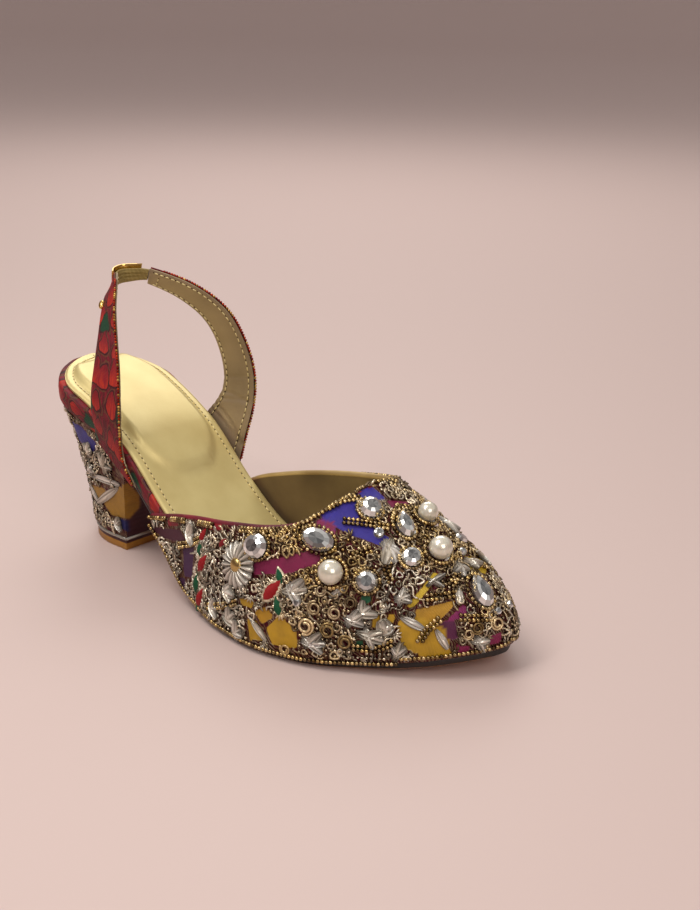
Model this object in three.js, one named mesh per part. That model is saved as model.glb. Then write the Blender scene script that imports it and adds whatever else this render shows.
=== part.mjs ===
// Right-foot slingback shoe with a closed, jewelled toe on a block heel, empty and standing on a floor.
// Millimetres. +X to the toe, +Y to the inner (medial) side, +Z up.
// The origin lies on the floor under the ball of the foot, on the line from heel to toe.
// Stations below are counted from the back of the heel seat along that line.
import * as THREE from 'three';
import { mergeVertices } from 'three/addons/utils/BufferGeometryUtils.js';

// Driving dimensions
const LENGTH = 236;
const ORIGIN_STATION = 158;
const GAP = 0.3;
const SOCK = 1.6;
const OUTSOLE = 3;
const VAMP_CLEARANCE = 0.7;
const VAMP_WALL = 2.2;
const HEEL_ROUND = 27;
const TOE_ROUND_STATION = 203;
const SECTION_FULLNESS = 2.25;
const THROAT_STATION = 177;
const FAN_RIDGE_END = 217;
const TOE_RIBS = 9;
const VAMP_RISE = 9;
const HEEL_BREAST_TOP = 61;
const HEEL_BREAST_FLOOR = 50.2;
const HEEL_BACK_FLOOR = 16.5;
const HEEL_FLOOR_ROUND = 25;
const HEEL_HALF_FLOOR = 20;
const HEEL_FLOOR_CENTRE = -2.5;
const HEEL_INSET = 0.8;
const HEEL_HOLLOW = 0.16;
const HEEL_SQUARENESS = 0.75;
const HEEL_SIDES = 26;
const HEEL_LEVELS = 8;
const TOP_LIFT = 5;
const STRAP_THICKNESS = 2;
const ELASTIC_THICKNESS = 1.4;
const CLIP_THICKNESS = 1;
const CLIP_LOW = 0.35;
const CLIP_HIGH = 1.25;
const CLIP_ROWS = 5;
const JEWEL_SIDES = 10;
const JEWEL_RINGS = 6;
const JEWEL_SEAT = 0.1;
const CUSHION = 2.4;
const CUSHION_BACK = 8;
const CUSHION_FRONT = 80;
const CUSHION_MARGIN = 6;
const CUSHION_SLOPE = 7;
const SOCK_INSET = 1.5;
const BOARD_UNDERCUT = 0.6;
const BOARD_SWELL = 1.5;
const BOARD_SWELL_FROM = 22;
const BOARD_SWELL_FADE = 20;
const OUTSOLE_WAIST = -1.2;
const OUTSOLE_BALL = 1.4;
const OUTSOLE_SPREAD_FROM = 84;
const OUTSOLE_SPREAD = 50;

// The last in plan and profile: centre line, half widths of the footbed, underside of the footbed board,
// depth of the footbed and the ridge of the foot above the floor.
const LAST = [
  { station: 0, centre: 0.9, lateral: 29.5, medial: 26, feather: 67, depth: 10, ridge: 130 },
  { station: 12, centre: 0, lateral: 29.5, medial: 26, feather: 63.6, depth: 10, ridge: 126 },
  { station: 30, centre: -1.5, lateral: 28.5, medial: 27, feather: 58.3, depth: 10, ridge: 120 },
  { station: 59, centre: -3.8, lateral: 29, medial: 26, feather: 46.2, depth: 10, ridge: 108 },
  { station: 89, centre: -6.2, lateral: 29.5, medial: 25.5, feather: 22.6, depth: 10, ridge: 93 },
  { station: 114, centre: -8.2, lateral: 33.5, medial: 29, feather: 6.3, depth: 9.3, ridge: 81 },
  { station: 139, centre: -9.5, lateral: 39.5, medial: 36, feather: 3, depth: 7.9, ridge: 72 },
  { station: 160, centre: -9.1, lateral: 42.5, medial: 39.5, feather: 3, depth: 7.8, ridge: 65.5 },
  { station: 178, centre: -7.8, lateral: 40.5, medial: 38, feather: 3, depth: 7.8, ridge: 58 },
  { station: 203, centre: -5, lateral: 30.5, medial: 30, feather: 4.4, depth: 7.8, ridge: 45 },
  { station: 220, centre: -2.7, lateral: 22, medial: 21.5, feather: 6.6, depth: 7.8, ridge: 36 },
  { station: 231, centre: -1, lateral: 15.5, medial: 15, feather: 8.6, depth: 7.8, ridge: 30 },
  { station: 241, centre: 0.5, lateral: 10, medial: 10, feather: 10.4, depth: 7.8, ridge: 25 },
];

// Height of the vamp's top edge on each side, from the end of its wing to the point of the throat.
const TOPLINE = [
  { station: 84.5, lateral: 29.8, medial: 30.4 },
  { station: 92, lateral: 31.9, medial: 34.2 },
  { station: 105, lateral: 36, medial: 39 },
  { station: 120, lateral: 39.8, medial: 43.5 },
  { station: 142, lateral: 44.4, medial: 48.4 },
  { station: 158, lateral: 47.4, medial: 51.4 },
  { station: 168, lateral: 50, medial: 54 },
  { station: 174, lateral: 54.6, medial: 56.8 },
  { station: 177, lateral: 58.8, medial: 58.8 },
];

// Ribs of the vamp behind the toe: stations of their feet and of their heads.
const WING_RIBS = [
  { foot: 84.5, head: 84.5 },
  { foot: 89, head: 89 },
  { foot: 95, head: 95.5 },
  { foot: 102, head: 103 },
  { foot: 109, head: 111 },
  { foot: 116, head: 119 },
  { foot: 123, head: 127 },
  { foot: 130, head: 135 },
  { foot: 137, head: 143 },
  { foot: 143, head: 151 },
  { foot: 149, head: 158.5 },
  { foot: 154, head: 164.5 },
  { foot: 159, head: 169 },
  { foot: 163.5, head: 172.2 },
  { foot: 167.5, head: 174.2 },
  { foot: 171, head: 175.6 },
  { foot: 174, head: 176.5 },
  { foot: 177, head: 177 },
  { foot: 182, head: 181.5 },
  { foot: 188, head: 186.5 },
];

// Sling straps: the rear and front edge of the middle layer at each rise from the footbed to the tip.
const LATERAL_STRAP = [
  { rear: [46, -33, 53.4], front: [72, -35.4, 38.4] },
  { rear: [45.6, -33.8, 60], front: [64.6, -35, 49.5] },
  { rear: [46, -35.4, 68], front: [64.2, -35.6, 62] },
  { rear: [45.8, -34.6, 77], front: [63.3, -34.8, 74] },
  { rear: [45.1, -31.9, 87.3], front: [59.8, -31.8, 87] },
  { rear: [42.4, -27.4, 97], front: [54.5, -28, 97.5] },
  { rear: [38.2, -22, 104.6], front: [47.4, -22.4, 108.2] },
  { rear: [33, -15.6, 109.4], front: [39.6, -15, 115.4] },
  { rear: [28.7, -8.1, 112], front: [31.5, -8, 119.8] },
];
const MEDIAL_STRAP = [
  { rear: [50, 24.8, 51.6], front: [75.5, 22.5, 36] },
  { rear: [54, 25.4, 56], front: [77.6, 24, 48] },
  { rear: [58, 26.2, 61], front: [79.4, 26.4, 60] },
  { rear: [60.9, 27.4, 67.2], front: [80, 27.5, 71] },
  { rear: [61.9, 27.2, 75.1], front: [79.3, 26.6, 82.2] },
  { rear: [61, 25.6, 84.6], front: [76.3, 24, 94] },
  { rear: [59.3, 22.3, 94.1], front: [72.7, 20, 104] },
  { rear: [55.3, 18.8, 101.4], front: [66.8, 16, 110.8] },
  { rear: [48.3, 14.5, 107.4], front: [58.8, 11.5, 116] },
  { rear: [41, 11, 111], front: [49.9, 8, 119] },
  { rear: [34.9, 7.1, 113.6], front: [39.6, 4.5, 121.2] },
];

// Elastic that joins the two strap tips round the back of the heel: its lower and upper edge.
const ELASTIC = [
  { rear: [29.8, -6.7, 112.6], front: [30.9, -7.5, 118.8] },
  { rear: [27.6, -4.4, 113.2], front: [28.4, -4.8, 119.4] },
  { rear: [27.1, -1.2, 113.6], front: [28.1, -1.2, 119.9] },
  { rear: [28.9, 2.2, 114.1], front: [30.8, 1.6, 120.1] },
  { rear: [31.9, 4.7, 114.8], front: [34.5, 3.5, 120.4] },
  { rear: [35.2, 6.45, 115.2], front: [38.4, 4.75, 120.3] },
];

// Stations that every layer of the sole shares, and shares of the turn round its heel and its toe.
const WAIST_STATIONS = [61.7, 70, 79, 88, 97, 106, 114, 122, 130, 139, 149, 160, 169, 178];
const HEEL_SHARES = [0, 1, 2, 3, 4, 5, 6, 7, 8].map((k) => k / 9);
const TOE_SHARES = [1, 2, 3, 4, 5, 6, 7, 8, 9, 10, 11].map((k) => k / 11);

// Jewels that stand clear of the vamp's embroidery: place in plan, half sizes along and across, half height
// and the turn of the long way from the line of the foot, in degrees.
const JEWELS = [
  { name: 'pearl_lateral', station: 186.5, y: -40.4, along: 4.7, across: 4.7, height: 4.5, turn: 0 },
  { name: 'pearl_toe', station: 211.1, y: -10.1, along: 4.5, across: 4.5, height: 4.3, turn: 0 },
  { name: 'pearl_ridge', station: 197, y: -0.6, along: 3.9, across: 3.9, height: 3.7, turn: 0 },
  { name: 'pearl_medial', station: 160, y: 30, along: 4.7, across: 4.7, height: 4.5, turn: 0 },
  { name: 'stone_toe', station: 228.3, y: -5.9, along: 6.6, across: 4.5, height: 2, turn: -20 },
  { name: 'stone_drop', station: 196.6, y: -12.1, along: 6, across: 4, height: 2, turn: -30 },
  { name: 'stone_throat', station: 185.3, y: -18.4, along: 4.4, across: 4.4, height: 2.2, turn: 0 },
  { name: 'stone_wing', station: 156.3, y: -48.1, along: 5.3, across: 4.8, height: 2, turn: 0 },
  { name: 'stone_oval', station: 177.7, y: -38.4, along: 6.6, across: 4.4, height: 2, turn: 0 },
  { name: 'stone_low', station: 197.7, y: -34, along: 4.2, across: 4.2, height: 1.8, turn: 0 },
  { name: 'stone_middle', station: 206.2, y: -19.2, along: 3.9, across: 3.9, height: 1.8, turn: 0 },
  { name: 'stone_medial_wing', station: 138, y: 27, along: 5.3, across: 5.3, height: 2, turn: 0 },
  { name: 'stone_medial_toe', station: 196, y: 27, along: 6, across: 4.2, height: 2, turn: 25 },
];

/** Monotone cubic through one column of a table, as a function of the station. */
function column(table, name) {
  const x = table.map((row) => row.station);
  const y = table.map((row) => row[name]);
  const slope = x.slice(1).map((value, i) => (y[i + 1] - y[i]) / (value - x[i]));
  const tangent = x.map((value, i) => {
    const before = slope[Math.max(0, i - 1)];
    const after = slope[Math.min(slope.length - 1, i)];
    return before * after <= 0 ? 0 : 2 * before * after / (before + after);
  });
  return (at) => {
    const s = Math.min(Math.max(at, x[0]), x[x.length - 1]);
    let i = 0;
    while (i < x.length - 2 && s > x[i + 1]) i += 1;
    const h = x[i + 1] - x[i];
    const t = (s - x[i]) / h;
    const start = y[i] + h * t * (1 - t) * (1 - t) * tangent[i];
    const end = t * t * (3 - 2 * t) * (y[i + 1] - y[i]) - h * t * t * (1 - t) * tangent[i + 1];
    return start + end;
  };
}

const centre = column(LAST, 'centre');
const feather = column(LAST, 'feather');
const depth = column(LAST, 'depth');
const ridge = column(LAST, 'ridge');
const halfTable = { lateral: column(LAST, 'lateral'), medial: column(LAST, 'medial') };
const topline = { lateral: column(TOPLINE, 'lateral'), medial: column(TOPLINE, 'medial') };
const SIGN = { lateral: -1, medial: 1 };
const bed = (s) => feather(s) + depth(s);

/** Share of the full width or height left where the toe closes, from 1 to 0. */
function toeClose(s, off, power) {
  const q = (s - TOE_ROUND_STATION) / (LENGTH + off - TOE_ROUND_STATION);
  return q <= 0 ? 1 : Math.pow(Math.max(0, 1 - Math.pow(q, 4)), power);
}

/** Half width of the last's outline, moved out by off, with its rounded heel and toe. */
function half(s, side, off) {
  const back = Math.max(0, (s + off) / (HEEL_ROUND + off));
  const heelClose = back < 1 ? Math.sqrt(Math.max(0, 1 - (1 - back) * (1 - back))) : 1;
  return (halfTable[side](s) + off) * heelClose * toeClose(s, off, 0.5);
}

/** Surface of the foot above the feather line, moved out by off: height at a place in plan. */
function footHeight(s, y, off) {
  const side = y < centre(s) ? 'lateral' : 'medial';
  const width = half(s, side, off);
  const across = width > 1e-6 ? Math.min(1, Math.abs(y - centre(s)) / width) : 0;
  const rise = (ridge(s) - VAMP_WALL + off - feather(s)) * toeClose(s, off, 0.26);
  return feather(s) + rise * Math.pow(1 - Math.pow(across, SECTION_FULLNESS), 1 / SECTION_FULLNESS);
}

const place = (p) => [p[0] - ORIGIN_STATION, p[1], p[2]];

/** Closed solid from triangles of corner points; corners that coincide are joined. */
function solidFrom(triangles) {
  const corners = triangles.flat().flatMap(place);
  const loose = new THREE.BufferGeometry();
  loose.setAttribute('position', new THREE.Float32BufferAttribute(corners, 3));
  const joined = mergeVertices(loose, 1e-3);
  const index = joined.index.array;
  const kept = [];
  for (let i = 0; i < index.length; i += 3) {
    const [a, b, c] = [index[i], index[i + 1], index[i + 2]];
    if (a !== b && b !== c && c !== a) kept.push(a, b, c);
  }
  joined.setIndex(kept);
  joined.computeVertexNormals();
  return joined;
}

const quad = (a, b, c, d) => [[a, b, c], [a, c, d]];

/** Triangles of a grid of points, rows first. */
function gridFaces(grid, flip) {
  const faces = [];
  for (let i = 0; i < grid.length - 1; i += 1) {
    for (let j = 0; j < grid[0].length - 1; j += 1) {
      const ring = [grid[i][j], grid[i + 1][j], grid[i + 1][j + 1], grid[i][j + 1]];
      faces.push(...quad(...(flip ? ring.reverse() : ring)));
    }
  }
  return faces;
}

/** Border of a grid as one closed loop of points, in the order of its faces. */
function border(grid) {
  const rows = grid.length - 1;
  const cols = grid[0].length - 1;
  const loop = [];
  for (let i = 0; i < rows; i += 1) loop.push(grid[i][0]);
  for (let j = 0; j < cols; j += 1) loop.push(grid[rows][j]);
  for (let i = rows; i > 0; i -= 1) loop.push(grid[i][cols]);
  for (let j = cols; j > 0; j -= 1) loop.push(grid[0][j]);
  return loop;
}

/** Solid between an upper and a lower grid of the same size, closed round the border. */
function slab(upper, lower) {
  const faces = [...gridFaces(upper, false), ...gridFaces(lower, true)];
  const high = border(upper);
  const low = border(lower);
  high.forEach((point, i) => {
    const k = (i + 1) % high.length;
    faces.push(...quad(point, low[i], low[k], high[k]));
  });
  return solidFrom(faces);
}

/** Stations from the heel to the toe of an outline moved out by off, closest where it is round. */
function stationsAlong(off) {
  const heel = HEEL_SHARES.map((share) => -off + (WAIST_STATIONS[0] + off) * (1 - Math.cos(share * Math.PI / 2)));
  const flat = WAIST_STATIONS[WAIST_STATIONS.length - 1];
  const toe = TOE_SHARES.map((share) => flat + (LENGTH + off - flat) * Math.sin(share * Math.PI / 2));
  return { toe, all: [...heel, ...WAIST_STATIONS, ...toe] };
}

/** Sheet along the last: rows of points across the outline at a height given in plan. */
function layer(list, cols, off, height) {
  return list.map((s) => Array.from({ length: cols + 1 }, (unused, j) => {
    const across = -Math.cos(Math.PI * j / cols);
    const side = across < 0 ? 'lateral' : 'medial';
    const y = centre(s) + across * half(s, side, off(s));
    return [s, y, height(s, y)];
  }));
}

const smooth = (t) => {
  const c = Math.min(1, Math.max(0, t));
  return c * c * (3 - 2 * c);
};

/** Raised cushion of the heel seat, highest away from its edges. */
function cushion(s, y) {
  const side = y < centre(s) ? 'lateral' : 'medial';
  const inward = half(s, side, 0) - Math.abs(y - centre(s)) - CUSHION_MARGIN;
  const along = Math.min(s - CUSHION_BACK, CUSHION_FRONT - s);
  return CUSHION * smooth(inward / CUSHION_SLOPE) * smooth(along / CUSHION_SLOPE);
}

/** Edge of the footbed board, swelling out round the back of the heel seat. */
const boardOff = (s) => BOARD_SWELL * (1 - smooth((s - BOARD_SWELL_FROM) / BOARD_SWELL_FADE));

/** Footbed board in its wrapped cover, from the underside to the sock. */
function footbedBoard() {
  const list = [-BOARD_SWELL, ...stationsAlong(0).all];
  const top = layer(list, 8, boardOff, (s) => bed(s) - SOCK - GAP);
  const bottom = layer(list, 8, (s) => boardOff(s) - BOARD_UNDERCUT, (s) => feather(s));
  return slab(top, bottom);
}

/** Sock on the footbed with the cushion raised in it. */
function sock() {
  const list = stationsAlong(-SOCK_INSET).all;
  const inset = () => -SOCK_INSET;
  const top = layer(list, 14, inset, (s, y) => bed(s) + cushion(s, y));
  const bottom = layer(list, 14, inset, (s) => bed(s) - SOCK);
  return slab(top, bottom);
}

/** Edge of the outsole, drawn in under the waist and out under the ball. */
function outsoleOff(s) {
  const spread = smooth((s - OUTSOLE_SPREAD_FROM) / OUTSOLE_SPREAD);
  return OUTSOLE_WAIST + (OUTSOLE_BALL - OUTSOLE_WAIST) * spread;
}

/** Outsole from the heel breast to the toe, flat under the ball. */
function outsole() {
  const list = [...WAIST_STATIONS, ...stationsAlong(OUTSOLE_BALL).toe];
  const top = layer(list, 10, outsoleOff, (s) => feather(s) - GAP);
  const bottom = layer(list, 10, outsoleOff, (s) => feather(s) - OUTSOLE);
  return slab(top, bottom);
}

/** Ribs of the vamp: the station of each foot on the feather line and of its head on the top edge or ridge. */
function ribs(off) {
  const list = [...WING_RIBS];
  const { foot: first, head: start } = WING_RIBS[WING_RIBS.length - 1];
  for (let k = 1; k <= TOE_RIBS; k += 1) {
    const t = k / TOE_RIBS;
    const foot = first + (LENGTH + off - first) * Math.sin(Math.PI * t / 2);
    list.push({ foot, head: start + (FAN_RIDGE_END - start) * t });
  }
  return list;
}

/** Angle up a section, in radians, at which the top edge of the vamp cuts it. */
function topAngle(s, side) {
  if (s >= THROAT_STATION) return Math.PI / 2;
  const rise = (topline[side](s) - feather(s)) / (ridge(s) + VAMP_CLEARANCE - feather(s));
  const level = Math.min(1, Math.max(0, rise));
  return Math.acos(Math.pow(1 - Math.pow(level, SECTION_FULLNESS), 1 / SECTION_FULLNESS));
}

/** One side of the vamp as a grid: ribs from the wing to the toe, points from the feather line up. */
function vampSide(side, off) {
  return ribs(off).map(({ foot, head }) => {
    const limit = topAngle(head, side);
    const edge = centre(foot) + SIGN[side] * half(foot, side, off);
    const aside = head < THROAT_STATION ? half(head, side, off) * Math.cos(limit) : 0;
    const top = centre(head) + SIGN[side] * aside;
    return Array.from({ length: VAMP_RISE + 1 }, (unused, j) => {
      const share = (1 - Math.cos(limit * j / VAMP_RISE)) / (1 - Math.cos(limit));
      const s = foot * (1 - share) + head * share;
      const y = edge * (1 - share) + top * share;
      return [s, y, j === 0 ? feather(s) : footHeight(s, y, off)];
    });
  });
}

/** Vamp as one hollow wall: outer and inner skin joined along the top edge and the feather line. */
function vamp() {
  const inner = VAMP_CLEARANCE;
  const outer = VAMP_CLEARANCE + VAMP_WALL;
  const faces = [];
  Object.keys(SIGN).forEach((side) => {
    const skin = vampSide(side, outer);
    const lining = vampSide(side, inner);
    const turned = side === 'medial';
    faces.push(...gridFaces(skin, turned), ...gridFaces(lining, !turned));
    const rib = ribs(outer);
    const last = rib.length - 1;
    const top = skin[0].length - 1;
    const throat = rib.findIndex((r) => r.head >= THROAT_STATION);
    const edge = (i, j, k, l) => {
      const ring = [skin[i][j], lining[i][j], lining[k][l], skin[k][l]];
      faces.push(...quad(...(turned ? ring.reverse() : ring)));
    };
    for (let i = 0; i < last; i += 1) edge(i, 0, i + 1, 0);
    for (let j = 0; j < top; j += 1) edge(0, j + 1, 0, j);
    for (let i = 0; i < throat; i += 1) edge(i + 1, top, i, top);
  });
  return solidFrom(faces);
}

/** Strap or band from a table of its edges: rows along it, points across, moved by shift off its middle. */
function ribbon(rows, { count, cols, thickness, shift }) {
  const spline = (key) => new THREE.CatmullRomCurve3(rows.map((row) => new THREE.Vector3(...row[key])));
  const rear = spline('rear');
  const front = spline('front');
  const skin = (out) => Array.from({ length: count + 1 }, (unused, i) => {
    const t = i / count;
    const a = rear.getPoint(t);
    const b = front.getPoint(t);
    const along = rear.getTangent(t).add(front.getTangent(t));
    const normal = along.cross(b.clone().sub(a)).normalize().multiplyScalar(out);
    return Array.from({ length: cols + 1 }, (unused2, j) => {
      const p = a.clone().lerp(b, j / cols).add(normal);
      return [p.x, p.y, p.z];
    });
  });
  return slab(skin(shift + thickness / 2), skin(shift - thickness / 2));
}

const strap = (rows, count) => ribbon(rows, { count, cols: 4, thickness: STRAP_THICKNESS, shift: 0 });

/** Elastic between the strap tips. */
function elastic() {
  return ribbon(ELASTIC, { count: 16, cols: 2, thickness: ELASTIC_THICKNESS, shift: 0 });
}

/** Bent metal plate outside the elastic, standing a little above it. */
function clip() {
  const rows = ELASTIC.slice(0, CLIP_ROWS).map(({ rear, front }) => ({
    rear: rear.map((v, k) => v + (front[k] - v) * CLIP_LOW),
    front: rear.map((v, k) => v + (front[k] - v) * CLIP_HIGH),
  }));
  const shift = -(ELASTIC_THICKNESS / 2 + GAP + CLIP_THICKNESS / 2);
  return ribbon(rows, { count: 10, cols: 2, thickness: CLIP_THICKNESS, shift });
}

/** Outline of the heel at its top or at the floor, round the back from corner to corner. */
function heelOutline(count, atFloor) {
  return Array.from({ length: count + 1 }, (unused, i) => {
    const turn = Math.PI * (i / count - 0.5);
    const across = Math.sin(turn);
    const side = across < 0 ? 'lateral' : 'medial';
    const from = atFloor ? HEEL_BACK_FLOOR : HEEL_INSET;
    const to = atFloor ? HEEL_BREAST_FLOOR : HEEL_BREAST_TOP;
    const back = 1 - Math.pow(Math.cos(turn), HEEL_SQUARENESS);
    const s = from + (to - from) * back;
    if (!atFloor) return [s, centre(s) + SIGN[side] * half(s, side, -HEEL_INSET) * (across === 0 ? 0 : 1)];
    const q = Math.max(0, 1 - (s - from) / HEEL_FLOOR_ROUND);
    return [s, HEEL_FLOOR_CENTRE + Math.sign(across) * HEEL_HALF_FLOOR * Math.sqrt(1 - q * q)];
  });
}

/** Block heel: a tapering loft from the seat to the top lift, with a flat breast. */
function heelBlock() {
  const count = HEEL_SIDES;
  const levels = HEEL_LEVELS;
  const top = heelOutline(count, false);
  const floor = heelOutline(count, true);
  const base = TOP_LIFT + GAP;
  const wall = Array.from({ length: levels + 1 }, (unused, k) => {
    const t = k / levels;
    const drawn = t + HEEL_HOLLOW * Math.sin(Math.PI * t);
    return top.map((p, i) => {
      const s = p[0] + (floor[i][0] - p[0]) * drawn;
      const y = p[1] + (floor[i][1] - p[1]) * drawn;
      const seat = feather(p[0]) - GAP;
      return [s, y, seat + (base - seat) * t];
    });
  });
  const faces = gridFaces(wall, true);
  const mid = count / 2;
  for (let k = 0; k < levels; k += 1) {
    faces.push(...quad(wall[k][0], wall[k + 1][0], wall[k + 1][count], wall[k][count]));
  }
  for (let i = 0; i < mid; i += 1) {
    const j = count - i;
    faces.push(...quad(wall[0][j], wall[0][j - 1], wall[0][i + 1], wall[0][i]));
    faces.push(...quad(wall[levels][i], wall[levels][i + 1], wall[levels][j - 1], wall[levels][j]));
  }
  return solidFrom(faces);
}

/** Top lift: the flat tread under the heel. */
function topLift() {
  const shape = new THREE.Shape(heelOutline(HEEL_SIDES, true).map((p) => new THREE.Vector2(...p)));
  const lift = new THREE.ExtrudeGeometry(shape, { depth: TOP_LIFT, bevelEnabled: false });
  lift.deleteAttribute('uv');
  lift.deleteAttribute('normal');
  const flat = lift.translate(-ORIGIN_STATION, 0, 0);
  const joined = mergeVertices(flat, 1e-3);
  joined.computeVertexNormals();
  return joined;
}

/** Jewel seated on the vamp, its height along the vamp's normal. */
function jewel({ name, station, y, along, across, height, turn }) {
  const off = VAMP_CLEARANCE + VAMP_WALL;
  const step = 0.2;
  const z = footHeight(station, y, off);
  const fall = (footHeight(station + step, y, off) - footHeight(station - step, y, off)) / (2 * step);
  const lean = (footHeight(station, y + step, off) - footHeight(station, y - step, off)) / (2 * step);
  const normal = new THREE.Vector3(-fall, -lean, 1).normalize();
  const heading = new THREE.Vector3(1, 0, fall).applyAxisAngle(normal, turn * Math.PI / 180).normalize();
  const beside = normal.clone().cross(heading);
  const ball = new THREE.SphereGeometry(1, JEWEL_SIDES, JEWEL_RINGS);
  ball.deleteAttribute('uv');
  ball.deleteAttribute('normal');
  const gem = mergeVertices(ball, 1e-4);
  gem.computeVertexNormals();
  const pearl = name.startsWith('pearl');
  const mesh = piece(name, gem, pearl ? '#efe6d6' : '#d9d6d0', pearl ? 0.25 : 0.1, 0);
  mesh.scale.set(along, across, height);
  mesh.quaternion.setFromRotationMatrix(new THREE.Matrix4().makeBasis(heading, beside, normal));
  const lift = height + GAP + JEWEL_SEAT;
  mesh.position.set(...place([station, y, z])).addScaledVector(normal, lift);
  return mesh;
}

/** Named mesh with its own material. */
function piece(name, geometry, colour, roughness, metalness) {
  const material = new THREE.MeshStandardMaterial({ color: colour, roughness, metalness });
  material.name = name;
  const mesh = new THREE.Mesh(geometry, material);
  mesh.name = name;
  return mesh;
}

const shoe = new THREE.Group();
shoe.name = 'heeled_sandal';
shoe.add(
  piece('outsole', outsole(), '#4a2a18', 0.6, 0),
  piece('footbed_board', footbedBoard(), '#9c1f2a', 0.5, 0),
  piece('sock', sock(), '#c8a860', 0.35, 0.3),
  piece('vamp', vamp(), '#a58f6a', 0.5, 0.3),
  piece('sling_strap_lateral', strap(LATERAL_STRAP, 24), '#a8202c', 0.5, 0),
  piece('sling_strap_medial', strap(MEDIAL_STRAP, 28), '#a8202c', 0.5, 0),
  piece('sling_elastic', elastic(), '#a89455', 0.7, 0),
  piece('sling_clip', clip(), '#d8b050', 0.25, 1),
  piece('heel_block', heelBlock(), '#7a4a3a', 0.5, 0.2),
  piece('heel_top_lift', topLift(), '#b07828', 0.5, 0),
  ...JEWELS.map(jewel),
);

export default shoe;
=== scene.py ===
"""Looks of a right-foot slingback shoe: jewelled toe, brocade sling, gold sock and covered block heel."""
import math

import bmesh
import bpy
import numpy as np
from mathutils import Matrix, Vector
from mathutils.bvhtree import BVHTree


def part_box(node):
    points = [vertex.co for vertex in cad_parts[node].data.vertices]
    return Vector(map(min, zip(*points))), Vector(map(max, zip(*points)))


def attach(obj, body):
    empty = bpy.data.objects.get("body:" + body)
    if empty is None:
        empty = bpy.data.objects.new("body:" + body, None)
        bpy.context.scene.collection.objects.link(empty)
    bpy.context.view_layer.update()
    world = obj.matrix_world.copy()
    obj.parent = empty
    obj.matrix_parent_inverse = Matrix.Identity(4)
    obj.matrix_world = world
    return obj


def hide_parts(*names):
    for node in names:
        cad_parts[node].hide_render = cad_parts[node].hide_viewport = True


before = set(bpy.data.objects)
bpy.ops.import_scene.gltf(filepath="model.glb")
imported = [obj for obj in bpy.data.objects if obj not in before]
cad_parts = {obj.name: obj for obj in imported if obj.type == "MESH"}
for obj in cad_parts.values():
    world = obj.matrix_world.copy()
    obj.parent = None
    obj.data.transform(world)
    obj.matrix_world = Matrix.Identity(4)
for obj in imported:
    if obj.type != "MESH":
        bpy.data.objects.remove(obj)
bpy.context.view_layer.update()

MM = 0.001
RNG = np.random.default_rng(11)

# Photo frame and camera: the photo's pixels, its focal length in pixels and the view of the shoe.
PHOTO = (700, 910)
FOCAL = 1400
AZIMUTH, ELEVATION, ROLL = 40.294, 18.763, 1.412
AIM = np.array([-65.794, 79.217, 30.0])
DISTANCE = 658.248

# Driving sizes of the shoe in millimetres, as in its solids.
LENGTH = 236
ORIGIN_STATION = 158
GAP = 0.3
SOCK = 1.6
OUTSOLE = 3
VAMP_CLEARANCE = 0.7
VAMP_WALL = 2.2
HEEL_ROUND = 27
TOE_ROUND_STATION = 203
TOE_WIDTH_POWER, TOE_HEIGHT_POWER = 0.5, 0.26
FULLNESS = 2.25
THROAT = 177
FAN_RIDGE_END = 217
HEEL_BREAST_TOP = 61
HEEL_BREAST_FLOOR = 50.2
HEEL_BACK_FLOOR = 16.5
HEEL_FLOOR_ROUND = 25
HEEL_HALF_FLOOR = 20
HEEL_FLOOR_CENTRE = -2.5
HEEL_SEAT_INSET, HEEL_BACK_POWER, HEEL_HOLLOW = 0.8, 0.75, 0.16
TOP_LIFT = 5
LIFT_MIDDLE = np.array([32, HEEL_FLOOR_CENTRE])
STRAP_THICKNESS = 2
SIDES = LATERAL, MEDIAL = -1, 1
SOCK_INSET = 1.5
BOARD_SWELL, BOARD_SWELL_FROM, BOARD_SWELL_FADE = 1.5, 22, 20
CUSHION, CUSHION_BACK, CUSHION_FRONT, CUSHION_MARGIN, CUSHION_SLOPE = 2.9, 8, 80, 6, 3.6
CUSHION_NOSE = 18

# Sizes of the looks alone, in millimetres: rolled edge and ripples of the sock, line of the sole, cord of the heel.
SOCK_ROLL, SOCK_ROLL_WIDTH = 0.7, 1.4
RIPPLE, RIPPLE_FROM, RIPPLE_TO, RIPPLE_FADE_IN, RIPPLE_FADE_OUT = 0.16, 96, 130, 10, 14
SOLE_FROM, SOLE_IN, SOLE_OUT, SOLE_SPREAD_FROM, SOLE_SPREAD_FADE = 61.7, -1.2, 1.4, 84, 50
FOOT_CORD_RADIUS = 0.75
BREAST_MAROON = "#3d0c1c"
# Steps down and round the heel's cover, across its breast, and round and across the tread.
COVER_MESH, BREAST_COLUMNS, LIFT_STEPS, LIFT_COLUMNS = (90, 128), 41, 96, 25
# Stations between the round heel and the round toe, and how many points each of the three gets.
WAIST = (62, 178)
HEEL_STATIONS, WAIST_STATIONS, TOE_STATIONS = 28, 70, 34
SOLE_STATIONS, SOCK_COLUMNS = 80, 61
# Sections of the board's edge and of the sole, from top to bottom: inset in millimetres and share of the height.
BOARD_PROFILE = [
    (20, 1), (6, 1), (1.2, 1), (0.35, 0.95), (0, 0.84), (-0.2, 0.6), (-0.1, 0.35), (0.15, 0.12), (0.7, 0), (6, 0),
    (20, 0),
]
# Row of the board's section along which its pattern runs.
BOARD_EDGE = 4
SOLE_PROFILE = [(24, 1), (8, 1), (0.5, 1), (0.1, 0.85), (0, 0.5), (0.15, 0.15), (0.7, 0), (8, 0), (24, 0)]
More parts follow.
